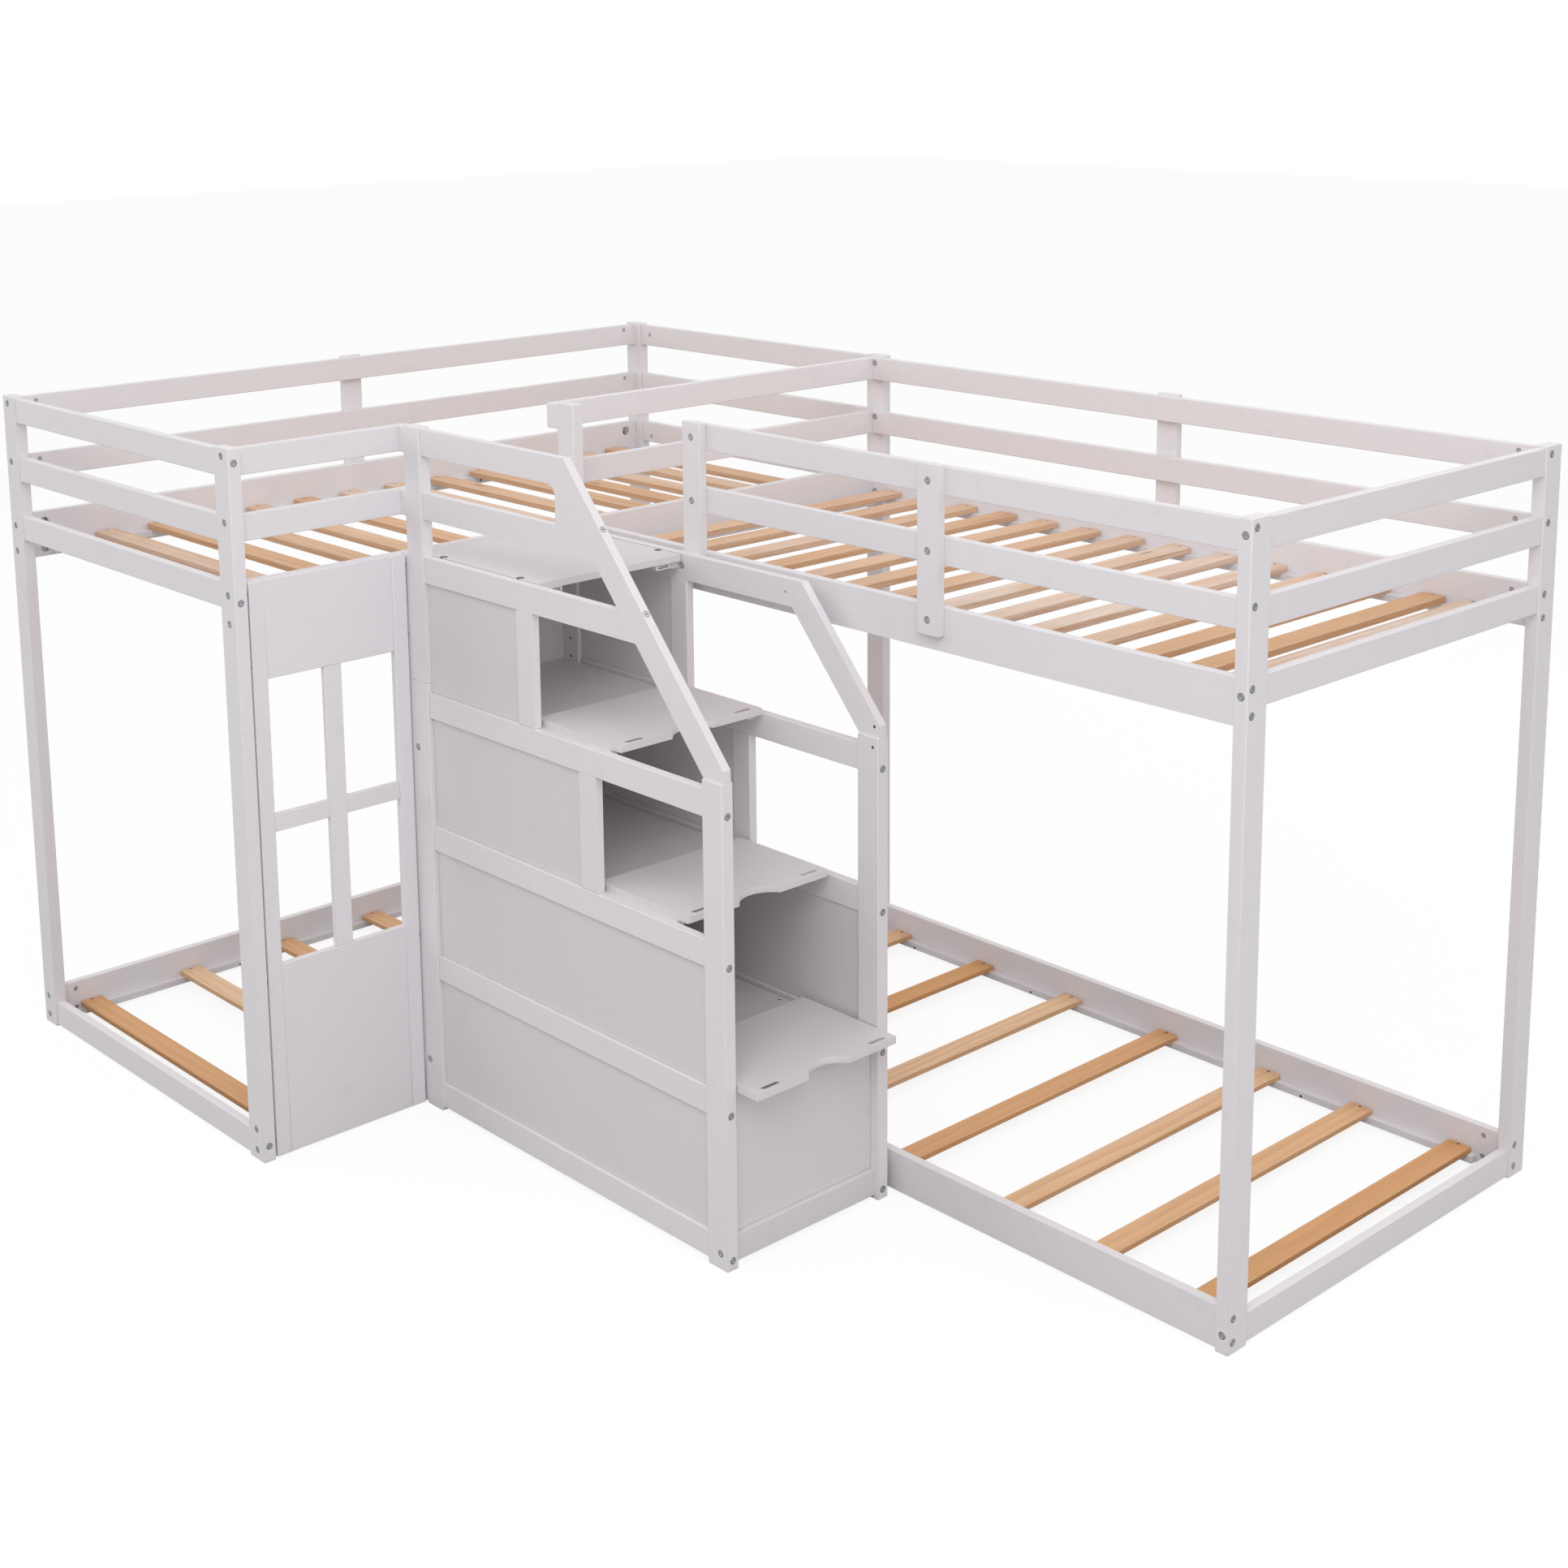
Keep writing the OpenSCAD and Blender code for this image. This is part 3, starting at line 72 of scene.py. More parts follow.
# linear colour from its hex text
def rgb(text):
    parts = [int(text[i:i + 2], 16) / 255 for i in (0, 2, 4)]
    linear = [p / 12.92 if p <= 0.04045 else ((p + 0.055) / 1.055) ** 2.4 for p in parts]
    return (linear[0], linear[1], linear[2], 1.0)


# helpers that build node trees


def feed(tree, socket, value):
    if isinstance(value, bpy.types.NodeSocket):
        tree.links.new(value, socket)
    else:
        socket.default_value = value


def addNode(tree, kind, inputs=None, **settings):
    node = tree.nodes.new(kind)
    for key, value in settings.items():
        setattr(node, key, value)
    for key, value in (inputs or {}).items():
        feed(tree, node.inputs[key], value)
    return node


def compute(tree, operation, a, b=0.0, c=0.0):
    node = addNode(tree, "ShaderNodeMath", operation=operation)
    for i, value in enumerate((a, b, c)):
        feed(tree, node.inputs[i], value)
    return node.outputs[0]


# a value raised by a share of a mask
def raised(tree, value, mask, amount):
    return compute(tree, "MULTIPLY_ADD", mask, amount, value)


def mixed(tree, factor, a, b):
    node = addNode(tree, "ShaderNodeMix", data_type="RGBA", blend_type="MIX")
    feed(tree, node.inputs[0], factor)
    feed(tree, node.inputs[6], a)  # sockets 6 and 7 are the two colours
    feed(tree, node.inputs[7], b)
    return node.outputs[2]


# another colour laid over the first where a mask is high
def tinted(tree, colour, over, mask, amount):
    return mixed(tree, compute(tree, "MULTIPLY", mask, amount), colour, over)


def ranged(tree, value, low, high, toLow=0.0, toHigh=1.0):
    node = addNode(tree, "ShaderNodeMapRange", interpolation_type="SMOOTHSTEP")
    for i, part in enumerate((value, low, high, toLow, toHigh)):
        feed(tree, node.inputs[i], part)
    return node.outputs[0]


def scaled(tree, vector, amounts):
    node = addNode(tree, "ShaderNodeVectorMath", operation="MULTIPLY")
    feed(tree, node.inputs[0], vector)
    feed(tree, node.inputs[1], amounts)
    return node.outputs[0]


def noise(tree, vector, scale, detail=3.0, rough=0.5, distortion=0.0):
    node = addNode(tree, "ShaderNodeTexNoise", {
        "Vector": vector, "Scale": scale, "Detail": detail, "Roughness": rough, "Distortion": distortion})
    return node.outputs[0]


# noise drawn out along a board
def drawnNoise(tree, place, amounts, detail=3.0, rough=0.5):
    return noise(tree, scaled(tree, place, amounts), 1.0, detail, rough)


number, direction = "NodeSocketFloat", "NodeSocketVector"


# empty node group; every output is a number
def newGroup(name, inputs, outputs):
    tree = bpy.data.node_groups.new(name, "ShaderNodeTree")
    for label, kind, value in inputs:
        socket = tree.interface.new_socket(name=label, in_out="INPUT", socket_type=kind)
        if value is not None:
            socket.default_value = value
    for label in outputs:
        tree.interface.new_socket(name=label, in_out="OUTPUT", socket_type=number)
    start = tree.nodes.new("NodeGroupInput")
    end = tree.nodes.new("NodeGroupOutput")
    return tree, start.outputs, end.inputs


grainShape = dict(
    knotSpacing=(3.2, 16.0, 1.0), knotBand=(0.02, 0.22, 1.0, 0.0), knotBend=9.0,
    waveDetail=2.0, waveSpread=0.7, waveRough=0.55, ringBand=(0.25, 0.97),
    broadScale=(1.6, 26.0, 26.0), broadBand=(0.3, 0.7, 0.45, 1.0),
    fibreScale=(9.0, 420.0, 420.0), fibreDetail=4.0, fibreRough=0.62,
    poreScale=(30.0, 1500.0, 1500.0), poreDetail=2.0, poreBand=(0.6, 0.74),
    fibreHeight=0.55, ringHeight=0.45, poreDepth=0.3,
)


# growth rings and fibres of a sawn board, from coordinates that run along it
def makeWoodGrain(values):
    tree, given, out = newGroup("woodGrain", [
        ("Place", direction, None), ("Ring Scale", number, 42.0), ("Waviness", number, 5.0),
        ("Stretch", number, 0.045), ("Knots", number, 0.0),
    ], ["Rings", "Fibre", "Pores", "Knot", "Height"])
    place = given["Place"]
    shape = addNode(tree, "ShaderNodeCombineXYZ", {0: given["Stretch"], 1: 1.0, 2: 1.0}).outputs[0]
    cell = addNode(tree, "ShaderNodeTexVoronoi", {
        "Vector": scaled(tree, place, values["knotSpacing"]), "Scale": 1.0, "Randomness": 1.0})
    near = ranged(tree, cell.outputs["Distance"], *values["knotBand"])
    knot = compute(tree, "MULTIPLY", near, given["Knots"])
    wave = addNode(tree, "ShaderNodeTexWave", {
        "Vector": scaled(tree, place, shape), "Scale": given["Ring Scale"],
        "Distortion": raised(tree, given["Waviness"], knot, values["knotBend"]),
        "Detail": values["waveDetail"], "Detail Scale": values["waveSpread"],
        "Detail Roughness": values["waveRough"],
    }, wave_type="RINGS", rings_direction="X", wave_profile="SAW")
    bands = ranged(tree, wave.outputs["Fac"], *values["ringBand"])
    broad = ranged(tree, drawnNoise(tree, place, values["broadScale"]), *values["broadBand"])
    rings = compute(tree, "MULTIPLY", bands, broad)
    fibre = drawnNoise(tree, place, values["fibreScale"], values["fibreDetail"], values["fibreRough"])
    pores = drawnNoise(tree, place, values["poreScale"], values["poreDetail"])
    pores = ranged(tree, pores, *values["poreBand"])
    height = compute(tree, "MULTIPLY", rings, values["ringHeight"])
    height = raised(tree, height, fibre, values["fibreHeight"])
    feed(tree, out["Rings"], rings)
    feed(tree, out["Fibre"], fibre)
    feed(tree, out["Pores"], pores)
    feed(tree, out["Knot"], knot)
    feed(tree, out["Height"], raised(tree, height, pores, -values["poreDepth"]))
    return tree


wearShape = dict(spotDetail=4.0, spotRough=0.65, fewest=0.86, spread=0.4, soft=0.09,
                 rubScale=7.0, rubDetail=2.0, rubBand=(0.3, 0.7, 0.3, 1.0))


# worn paint or wood along the rounded edges
def makeEdgeWear(values):
    tree, given, out = newGroup("edgeWear", [
        ("Place", direction, None), ("Edge", number, 0.0), ("Amount", number, 0.5), ("Scale", number, 60.0),
    ], ["Wear", "Rub"])
    spots = noise(tree, given["Place"], given["Scale"], values["spotDetail"], values["spotRough"])
    limit = raised(tree, values["fewest"], given["Amount"], -values["spread"])
    spots = ranged(tree, spots, limit, compute(tree, "ADD", limit, values["soft"]))
    rub = noise(tree, given["Place"], values["rubScale"], values["rubDetail"])
    rub = ranged(tree, rub, *values["rubBand"])
    feed(tree, out["Wear"], compute(tree, "MULTIPLY", spots, given["Edge"]))
    feed(tree, out["Rub"], compute(tree, "MULTIPLY", rub, given["Edge"]))
    return tree


markShape = dict(cloudDetail=3.0, cloudRough=0.55,
                 smudgeScale=11.0, smudgeDetail=4.0, smudgeRough=0.7, smudgeBend=0.8, smudgeBand=(0.55, 0.74),
                 dustScale=260.0, dustDetail=2.0, dustRough=0.7, dustBand=(0.66, 0.78),
                 stippleDetail=2.0, stippleRough=0.6)


# slow tone changes, handling marks and fine dust of a used surface
def makeSurfaceMarks(values):
    tree, given, out = newGroup("surfaceMarks", [
        ("Place", direction, None), ("Size", number, 5.0), ("Fine", number, 900.0),
    ], ["Cloud", "Smudge", "Dust", "Stipple"])
    place = given["Place"]
    cloud = noise(tree, place, given["Size"], values["cloudDetail"], values["cloudRough"])
    smudge = noise(tree, place, values["smudgeScale"], values["smudgeDetail"], values["smudgeRough"],
                   values["smudgeBend"])
    dust = noise(tree, place, values["dustScale"], values["dustDetail"], values["dustRough"])
    stipple = noise(tree, place, given["Fine"], values["stippleDetail"], values["stippleRough"])
    feed(tree, out["Cloud"], cloud)
    feed(tree, out["Smudge"], ranged(tree, smudge, *values["smudgeBand"]))
    feed(tree, out["Dust"], ranged(tree, dust, *values["dustBand"]))
    feed(tree, out["Stipple"], stipple)
    return tree


layerShape = dict(wobbleScale=(14.0, 14.0, 60.0), wobbleDetail=2.0, wobble=0.35,
                  stripeBand=(0.2, 0.3), glueBand=(0.0, 0.09, 1.0, 0.0))


# thin glued layers seen on the cut sides of a sheet
def makePlyLayers(values):
    tree, given, out = newGroup("plyLayers", [
        ("Place", direction, None), ("Side", number, 0.0), ("Layer", number, 0.0024),
    ], ["Stripe", "Glue"])
    depth = addNode(tree, "ShaderNodeSeparateXYZ", {0: given["Place"]}).outputs[2]
    wobble = drawnNoise(tree, given["Place"], values["wobbleScale"], values["wobbleDetail"])
    level = raised(tree, compute(tree, "DIVIDE", depth, given["Layer"]), wobble, values["wobble"])
    pair = compute(tree, "FRACT", compute(tree, "MULTIPLY", level, 0.5))  # every second layer is darker
    stripe = ranged(tree, compute(tree, "PINGPONG", pair, 0.5), *values["stripeBand"])
    joint = compute(tree, "PINGPONG", compute(tree, "FRACT", level), 0.5)
    glue = ranged(tree, joint, *values["glueBand"])
    feed(tree, out["Stripe"], compute(tree, "MULTIPLY", stripe, given["Side"]))
    feed(tree, out["Glue"], compute(tree, "MULTIPLY", glue, given["Side"]))
    return tree


woodGrain = makeWoodGrain(grainShape)
edgeWear = makeEdgeWear(wearShape)
surfaceMarks = makeSurfaceMarks(markShape)
plyLayers = makePlyLayers(layerShape)
print("node groups built:", len(bpy.data.node_groups))


def useGroup(tree, group, place, inputs):
    return addNode(tree, "ShaderNodeGroup", {"Place": place, **inputs}, node_tree=group).outputs


# empty material with its board attributes ready
def startMaterial(name):
    material = bpy.data.materials.new(name)
    material.use_nodes = True
    tree = material.node_tree
    surface = tree.nodes["Principled BSDF"]
    place = addNode(tree, "ShaderNodeAttribute", attribute_name="grainPlace").outputs["Vector"]
    facts = {key: addNode(tree, "ShaderNodeAttribute", attribute_name=key).outputs["Fac"]
             for key in ("boardTone", "edgeMask", "sideMask")}
    return material, tree, surface, place, facts


def addBump(tree, surface, height, distance):
    bump = addNode(tree, "ShaderNodeBump", {"Height": height, "Distance": distance, "Strength": 1.0})
    tree.links.new(bump.outputs[0], surface.inputs["Normal"])


paint = dict(
    colour=rgb("edeaed"), toneShift=rgb("e6e1e3"), grainTint=rgb("d9d4d6"), worn=rgb("c9bfb4"),
    ringScale=30.0, waviness=4.0, cloudSize=3.4, stippleScale=700.0,
    boardAmount=0.5, grainAmount=0.06, cloudAmount=0.18, smudgeAmount=0.1, dustAmount=0.12,
    wearAmount=0.34, wearTint=0.75, roughness=0.34, cloudRough=0.16, smudgeRough=0.08, wearRough=0.2,
    shine=0.35, grainRelief=0.45, stippleRelief=0.35, wearDepth=0.6, brush=0.00016,
)


# satin paint on solid wood, with the grain just showing
def makePaint(name, values):
    material, tree, surface, place, facts = startMaterial(name)
    grain = useGroup(tree, woodGrain, place, {
        "Ring Scale": values["ringScale"], "Waviness": values["waviness"]})
    marks = useGroup(tree, surfaceMarks, place, {"Size": values["cloudSize"], "Fine": values["stippleScale"]})
    wear = useGroup(tree, edgeWear, place, {"Edge": facts["edgeMask"], "Amount": values["wearAmount"]})
    colour = tinted(tree, values["colour"], values["toneShift"], facts["boardTone"], values["boardAmount"])
    colour = tinted(tree, colour, values["grainTint"], grain["Rings"], values["grainAmount"])
    colour = tinted(tree, colour, values["toneShift"], marks["Cloud"], values["cloudAmount"])
    colour = tinted(tree, colour, values["worn"], marks["Smudge"], values["smudgeAmount"])
    colour = tinted(tree, colour, values["worn"], marks["Dust"], values["dustAmount"])
    colour = tinted(tree, colour, values["worn"], wear["Wear"], values["wearTint"])
    tree.links.new(colour, surface.inputs["Base Color"])
    rough = raised(tree, values["roughness"], marks["Cloud"], values["cloudRough"])
    rough = raised(tree, rough, marks["Smudge"], values["smudgeRough"])
    rough = raised(tree, rough, wear["Wear"], values["wearRough"])
    tree.links.new(rough, surface.inputs["Roughness"])
    surface.inputs["Specular IOR Level"].default_value = values["shine"]
    height = compute(tree, "MULTIPLY", marks["Stipple"], values["stippleRelief"])
    height = raised(tree, height, grain["Height"], values["grainRelief"])
    height = raised(tree, height, wear["Wear"], -values["wearDepth"])
    addBump(tree, surface, height, values["brush"])
    return material


panelPaint = dict(
    colour=rgb("e4e0e2"), toneShift=rgb("dcd7d8"), worn=rgb("c5bbb2"), cloudSize=2.2, stippleScale=1100.0,
    boardAmount=0.4, cloudAmount=0.3, smudgeAmount=0.08, dustAmount=0.1, wearAmount=0.3, wearTint=0.7,
    roughness=0.43, cloudRough=0.14, smudgeRough=0.07, shine=0.3,
    stippleRelief=0.5, cloudRelief=0.6, stipple=0.00016,
)


# rolled paint on flat sheet
def makePanelPaint(name, values):
    material, tree, surface, place, facts = startMaterial(name)
    marks = useGroup(tree, surfaceMarks, place, {"Size": values["cloudSize"], "Fine": values["stippleScale"]})
    wear = useGroup(tree, edgeWear, place, {"Edge": facts["edgeMask"], "Amount": values["wearAmount"]})
    colour = tinted(tree, values["colour"], values["toneShift"], facts["boardTone"], values["boardAmount"])
    colour = tinted(tree, colour, values["toneShift"], marks["Cloud"], values["cloudAmount"])
    colour = tinted(tree, colour, values["worn"], marks["Smudge"], values["smudgeAmount"])
    colour = tinted(tree, colour, values["worn"], marks["Dust"], values["dustAmount"])
    colour = tinted(tree, colour, values["worn"], wear["Wear"], values["wearTint"])
    tree.links.new(colour, surface.inputs["Base Color"])
    rough = raised(tree, values["roughness"], marks["Cloud"], values["cloudRough"])
    rough = raised(tree, rough, marks["Smudge"], values["smudgeRough"])
    tree.links.new(rough, surface.inputs["Roughness"])
    surface.inputs["Specular IOR Level"].default_value = values["shine"]
    height = compute(tree, "MULTIPLY", marks["Cloud"], values["cloudRelief"])
    height = raised(tree, height, marks["Stipple"], values["stippleRelief"])
    addBump(tree, surface, compute(tree, "SUBTRACT", height, wear["Wear"]), values["stipple"])
    return material


pine = dict(
    light=rgb("fdeee2"), deep=rgb("e9bb8e"), ring=rgb("cc976c"), knot=rgb("7d4a26"), edge=rgb("fbead4"),
    ringScale=36.0, waviness=6.5, knots=0.35, cloudSize=4.0, wearAmount=0.9,
    patchScale=(2.6, 11.0, 11.0), patchRough=0.6, patchBand=(0.42, 0.66, 0.0, 0.5),
    ringAmount=0.5, fibreBand=(0.35, 0.75, 0.0, 0.3),
    streakScale=(7.0, 300.0, 260.0), streakBand=(0.56, 0.7), streakTop=0.25, streakSide=0.75,
    sideAmount=0.3, poreAmount=0.2, knotBand=(0.2, 0.34, 0.0, 0.6), smudgeAmount=0.12, rubAmount=0.4,
    roughness=0.62, ringRough=-0.12, poreRough=0.15, shine=0.25, fibre=0.00035,
)


# bare planed pine with rings, streaks and small knots
def makePine(name, values):
    material, tree, surface, place, facts = startMaterial(name)
    grain = useGroup(tree, woodGrain, place, {
        "Ring Scale": values["ringScale"], "Waviness": values["waviness"], "Knots": values["knots"]})
    marks = useGroup(tree, surfaceMarks, place, {"Size": values["cloudSize"]})
    wear = useGroup(tree, edgeWear, place, {"Edge": facts["edgeMask"], "Amount": values["wearAmount"]})
    colour = mixed(tree, facts["boardTone"], values["light"], values["deep"])
    patches = drawnNoise(tree, place, values["patchScale"], rough=values["patchRough"])
    colour = mixed(tree, ranged(tree, patches, *values["patchBand"]), colour, values["deep"])
    colour = tinted(tree, colour, values["ring"], grain["Rings"], values["ringAmount"])
    colour = mixed(tree, ranged(tree, grain["Fibre"], *values["fibreBand"]), colour, values["ring"])
    streaks = ranged(tree, drawnNoise(tree, place, values["streakScale"]), *values["streakBand"])
    share = ranged(tree, facts["sideMask"], 0.0, 1.0, values["streakTop"], values["streakSide"])
    colour = tinted(tree, colour, values["ring"], streaks, share)
    colour = tinted(tree, colour, values["ring"], facts["sideMask"], values["sideAmount"])
    colour = tinted(tree, colour, values["knot"], grain["Pores"], values["poreAmount"])
    colour = mixed(tree, ranged(tree, grain["Knot"], *values["knotBand"]), colour, values["knot"])
    colour = tinted(tree, colour, values["deep"], marks["Smudge"], values["smudgeAmount"])
    colour = tinted(tree, colour, values["edge"], wear["Rub"], values["rubAmount"])
    tree.links.new(colour, surface.inputs["Base Color"])
    rough = raised(tree, values["roughness"], grain["Rings"], values["ringRough"])
    rough = raised(tree, rough, grain["Pores"], values["poreRough"])
    tree.links.new(rough, surface.inputs["Roughness"])
    surface.inputs["Specular IOR Level"].default_value = values["shine"]
    addBump(tree, surface, grain["Height"], values["fibre"])
    return material


plywood = dict(
    light=rgb("f8d6b2"), deep=rgb("dca36c"), ring=rgb("c68a55"), dark=rgb("7a4c29"), pale=rgb("f4d3ab"),
    ringScale=14.0, waviness=9.0, stretch=0.12, cloudSize=4.0, wearAmount=0.9,
    ringAmount=0.36, fibreBand=(0.35, 0.75, 0.0, 0.25), smudgeAmount=0.15, stripeAmount=0.6,
    glueAmount=0.7, rubAmount=0.3, roughness=0.6, ringRough=-0.1, stripeRough=0.15, shine=0.25,
    glueDepth=0.8, fibre=0.0003,
)


# bare plywood, with its layers on the cut sides
def makePlywood(name, values):
    material, tree, surface, place, facts = startMaterial(name)
    grain = useGroup(tree, woodGrain, place, {
        "Ring Scale": values["ringScale"], "Waviness": values["waviness"], "Stretch": values["stretch"]})
    marks = useGroup(tree, surfaceMarks, place, {"Size": values["cloudSize"]})
    wear = useGroup(tree, edgeWear, place, {"Edge": facts["edgeMask"], "Amount": values["wearAmount"]})
    layers = useGroup(tree, plyLayers, place, {"Side": facts["sideMask"]})
    colour = mixed(tree, facts["boardTone"], values["light"], values["deep"])
    colour = tinted(tree, colour, values["ring"], grain["Rings"], values["ringAmount"])
    colour = mixed(tree, ranged(tree, grain["Fibre"], *values["fibreBand"]), colour, values["ring"])
    colour = tinted(tree, colour, values["deep"], marks["Smudge"], values["smudgeAmount"])
    colour = tinted(tree, colour, values["ring"], layers["Stripe"], values["stripeAmount"])
    colour = tinted(tree, colour, values["dark"], layers["Glue"], values["glueAmount"])
    colour = tinted(tree, colour, values["pale"], wear["Rub"], values["rubAmount"])
    tree.links.new(colour, surface.inputs["Base Color"])
    rough = raised(tree, values["roughness"], grain["Rings"], values["ringRough"])
    rough = raised(tree, rough, layers["Stripe"], values["stripeRough"])
    tree.links.new(rough, surface.inputs["Roughness"])
    surface.inputs["Specular IOR Level"].default_value = values["shine"]
    height = raised(tree, grain["Height"], layers["Glue"], -values["glueDepth"])
    addBump(tree, surface, height, values["fibre"])
    return material


metal = dict(
    cloudSize=90.0, stippleScale=2400.0, wearAmount=0.8, wearScale=300.0, boardAmount=0.3, dustAmount=0.5,
    rubAmount=0.5, cloudRough=0.25, dustRough=0.2, grain=0.0001,
)
zinc = dict(
    metal, light=rgb("d5d8da"), deep=rgb("a3a6a8"), stain=rgb("6d675f"), roughness=0.22, metallic=0.85)
steel = dict(
    metal, light=rgb("6f665d"), deep=rgb("443a31"), stain=rgb("33281f"), roughness=0.3, metallic=0.6)


def makeMetal(name, values):
    material, tree, surface, place, facts = startMaterial(name)
    marks = useGroup(tree, surfaceMarks, place, {"Size": values["cloudSize"], "Fine": values["stippleScale"]})
    wear = useGroup(tree, edgeWear, place, {
        "Edge": facts["edgeMask"], "Amount": values["wearAmount"], "Scale": values["wearScale"]})
    colour = mixed(tree, marks["Cloud"], values["light"], values["deep"])
    colour = tinted(tree, colour, values["deep"], facts["boardTone"], values["boardAmount"])
    colour = tinted(tree, colour, values["stain"], marks["Dust"], values["dustAmount"])
    colour = tinted(tree, colour, values["light"], wear["Rub"], values["rubAmount"])
    tree.links.new(colour, surface.inputs["Base Color"])
    surface.inputs["Metallic"].default_value = values["metallic"]
    rough = raised(tree, values["roughness"], marks["Cloud"], values["cloudRough"])
    rough = raised(tree, rough, marks["Dust"], values["dustRough"])
    tree.links.new(rough, surface.inputs["Roughness"])
    addBump(tree, surface, marks["Stipple"], values["grain"])
    return material


plastic = dict(
    light=rgb("f1f0ef"), deep=rgb("dddad8"), mark=rgb("b9b2aa"), cloudSize=40.0, stippleScale=2000.0,
    wearAmount=0.5, wearScale=200.0, wearTint=0.5, dustAmount=0.2, roughness=0.3, cloudRough=0.2,
    grain=0.00006,
)


# white caps and catches
def makePlastic(name, values):
    material, tree, surface, place, facts = startMaterial(name)
    marks = useGroup(tree, surfaceMarks, place, {"Size": values["cloudSize"], "Fine": values["stippleScale"]})
    wear = useGroup(tree, edgeWear, place, {
        "Edge": facts["edgeMask"], "Amount": values["wearAmount"], "Scale": values["wearScale"]})
    colour = mixed(tree, marks["Cloud"], values["light"], values["deep"])
    colour = tinted(tree, colour, values["mark"], wear["Wear"], values["wearTint"])
    colour = tinted(tree, colour, values["mark"], marks["Dust"], values["dustAmount"])
    tree.links.new(colour, surface.inputs["Base Color"])
    rough = raised(tree, values["roughness"], marks["Cloud"], values["cloudRough"])
    tree.links.new(rough, surface.inputs["Roughness"])
    addBump(tree, surface, marks["Stipple"], values["grain"])
    return material


hollow = dict(
    light=rgb("4d453f"), deep=rgb("2b2623"), cloudSize=160.0, stippleScale=1800.0, ringScale=60.0,
    ringAmount=0.3, roughness=0.8, dustRough=0.1, shine=0.1, grain=0.0002,
)


# painted shade: dark colour that stands for the shade inside a small hole or gap, with some raw dark wood
def makeHoleShade(name, values):
    material, tree, surface, place, facts = startMaterial(name)
    marks = useGroup(tree, surfaceMarks, place, {"Size": values["cloudSize"], "Fine": values["stippleScale"]})
    grain = useGroup(tree, woodGrain, place, {"Ring Scale": values["ringScale"]})
    colour = mixed(tree, marks["Cloud"], values["light"], values["deep"])
    colour = tinted(tree, colour, values["deep"], grain["Rings"], values["ringAmount"])
    tree.links.new(colour, surface.inputs["Base Color"])
    rough = raised(tree, values["roughness"], marks["Dust"], values["dustRough"])
    tree.links.new(rough, surface.inputs["Roughness"])
    surface.inputs["Specular IOR Level"].default_value = values["shine"]
    addBump(tree, surface, marks["Stipple"], values["grain"])
    return material


materials = dict(
    paint=makePaint("satinPaint", paint),
    panel=makePanelPaint("panelPaint", panelPaint),
    pine=makePine("planedPine", pine),
    plywood=makePlywood("barePlywood", plywood),
    zinc=makeMetal("zincPlate", zinc),
    steel=makeMetal("darkScrew", steel),
    plastic=makePlastic("whitePlastic", plastic),
    hollow=makeHoleShade("shadedHollow", hollow),
)
print("materials built:", len(materials))

meshRules = dict(
    weld=0.000002,  # points closer than this become one
    flatAngle=math.radians(0.5),  # faces closer than this become one
    areaChange=0.00005,  # largest share of its area that a mesh may gain in triangles
    lengthDigits=6,  # edges that differ by less count as equally long
    leastSlant=0.3,  # sine of the angle under which two directions count as one
    broadSide=0.5,  # cosine of the angle up to which a face is one of the two broad ones
    curve=(0.01, 0.6), crease=0.85,  # angles between faces that are shaded as one, and the sharpest such
)


# a CAD node's own mesh, welded and ready for changes
def copyNode(node):
    bm = bmesh.new()
    bm.from_mesh(frame["nodes"][node].data)
    bmesh.ops.remove_doubles(bm, verts=bm.verts[:], dist=meshRules["weld"])
    return bm


# edges or faces of some vertices, each once and always in the same order
def around(verts, kind):
    return list(dict.fromkeys(part for vert in verts for part in getattr(vert, kind)))


# one group of connected vertices per board
def findIslands(bm):
    bm.verts.index_update()
    seen, islands = set(), []
    for start in bm.verts:
        if start.index in seen:
            continue
        seen.add(start.index)
        stack, island = [start], []
        while stack:
            vert = stack.pop()
            island.append(vert)
            for edge in vert.link_edges:
                other = edge.other_vert(vert)
                if other.index not in seen:
                    seen.add(other.index)
                    stack.append(other)
        islands.append(island)
    return islands


# lowest and highest corner of a board's box
def corners(island):
    low = Vector([min(vert.co[i] for vert in island) for i in range(3)])
    high = Vector([max(vert.co[i] for vert in island) for i in range(3)])
    return low, high


softEdge = dict(width=0.0019, segments=2, angle=math.radians(40), shortest=0.0026)
smallEdge = dict(width=0.0004, segments=1, angle=math.radians(50), shortest=0.0005)


def roundEdges(bm, values):
    tagged = bm.faces.layers.int.new("rounded")
    groups = []
    for island in findIslands(bm):
        outer = [edge for edge in around(island, "link_edges")
                 if len(edge.link_faces) == 2 and edge.is_convex]
        groups.append([edge for edge in outer if edge.calc_length() > values["shortest"]
                       and edge.calc_face_angle(0.0) > values["angle"]])
    for chosen in groups:
        if not chosen:
            continue
        made = bmesh.ops.bevel(bm, geom=chosen, offset=values["width"], offset_type="OFFSET",
                               segments=values["segments"], profile=0.5, affect="EDGES",
                               clamp_overlap=True, loop_slide=True)
        for face in made["faces"]:
            face[tagged] = 1
    return tagged


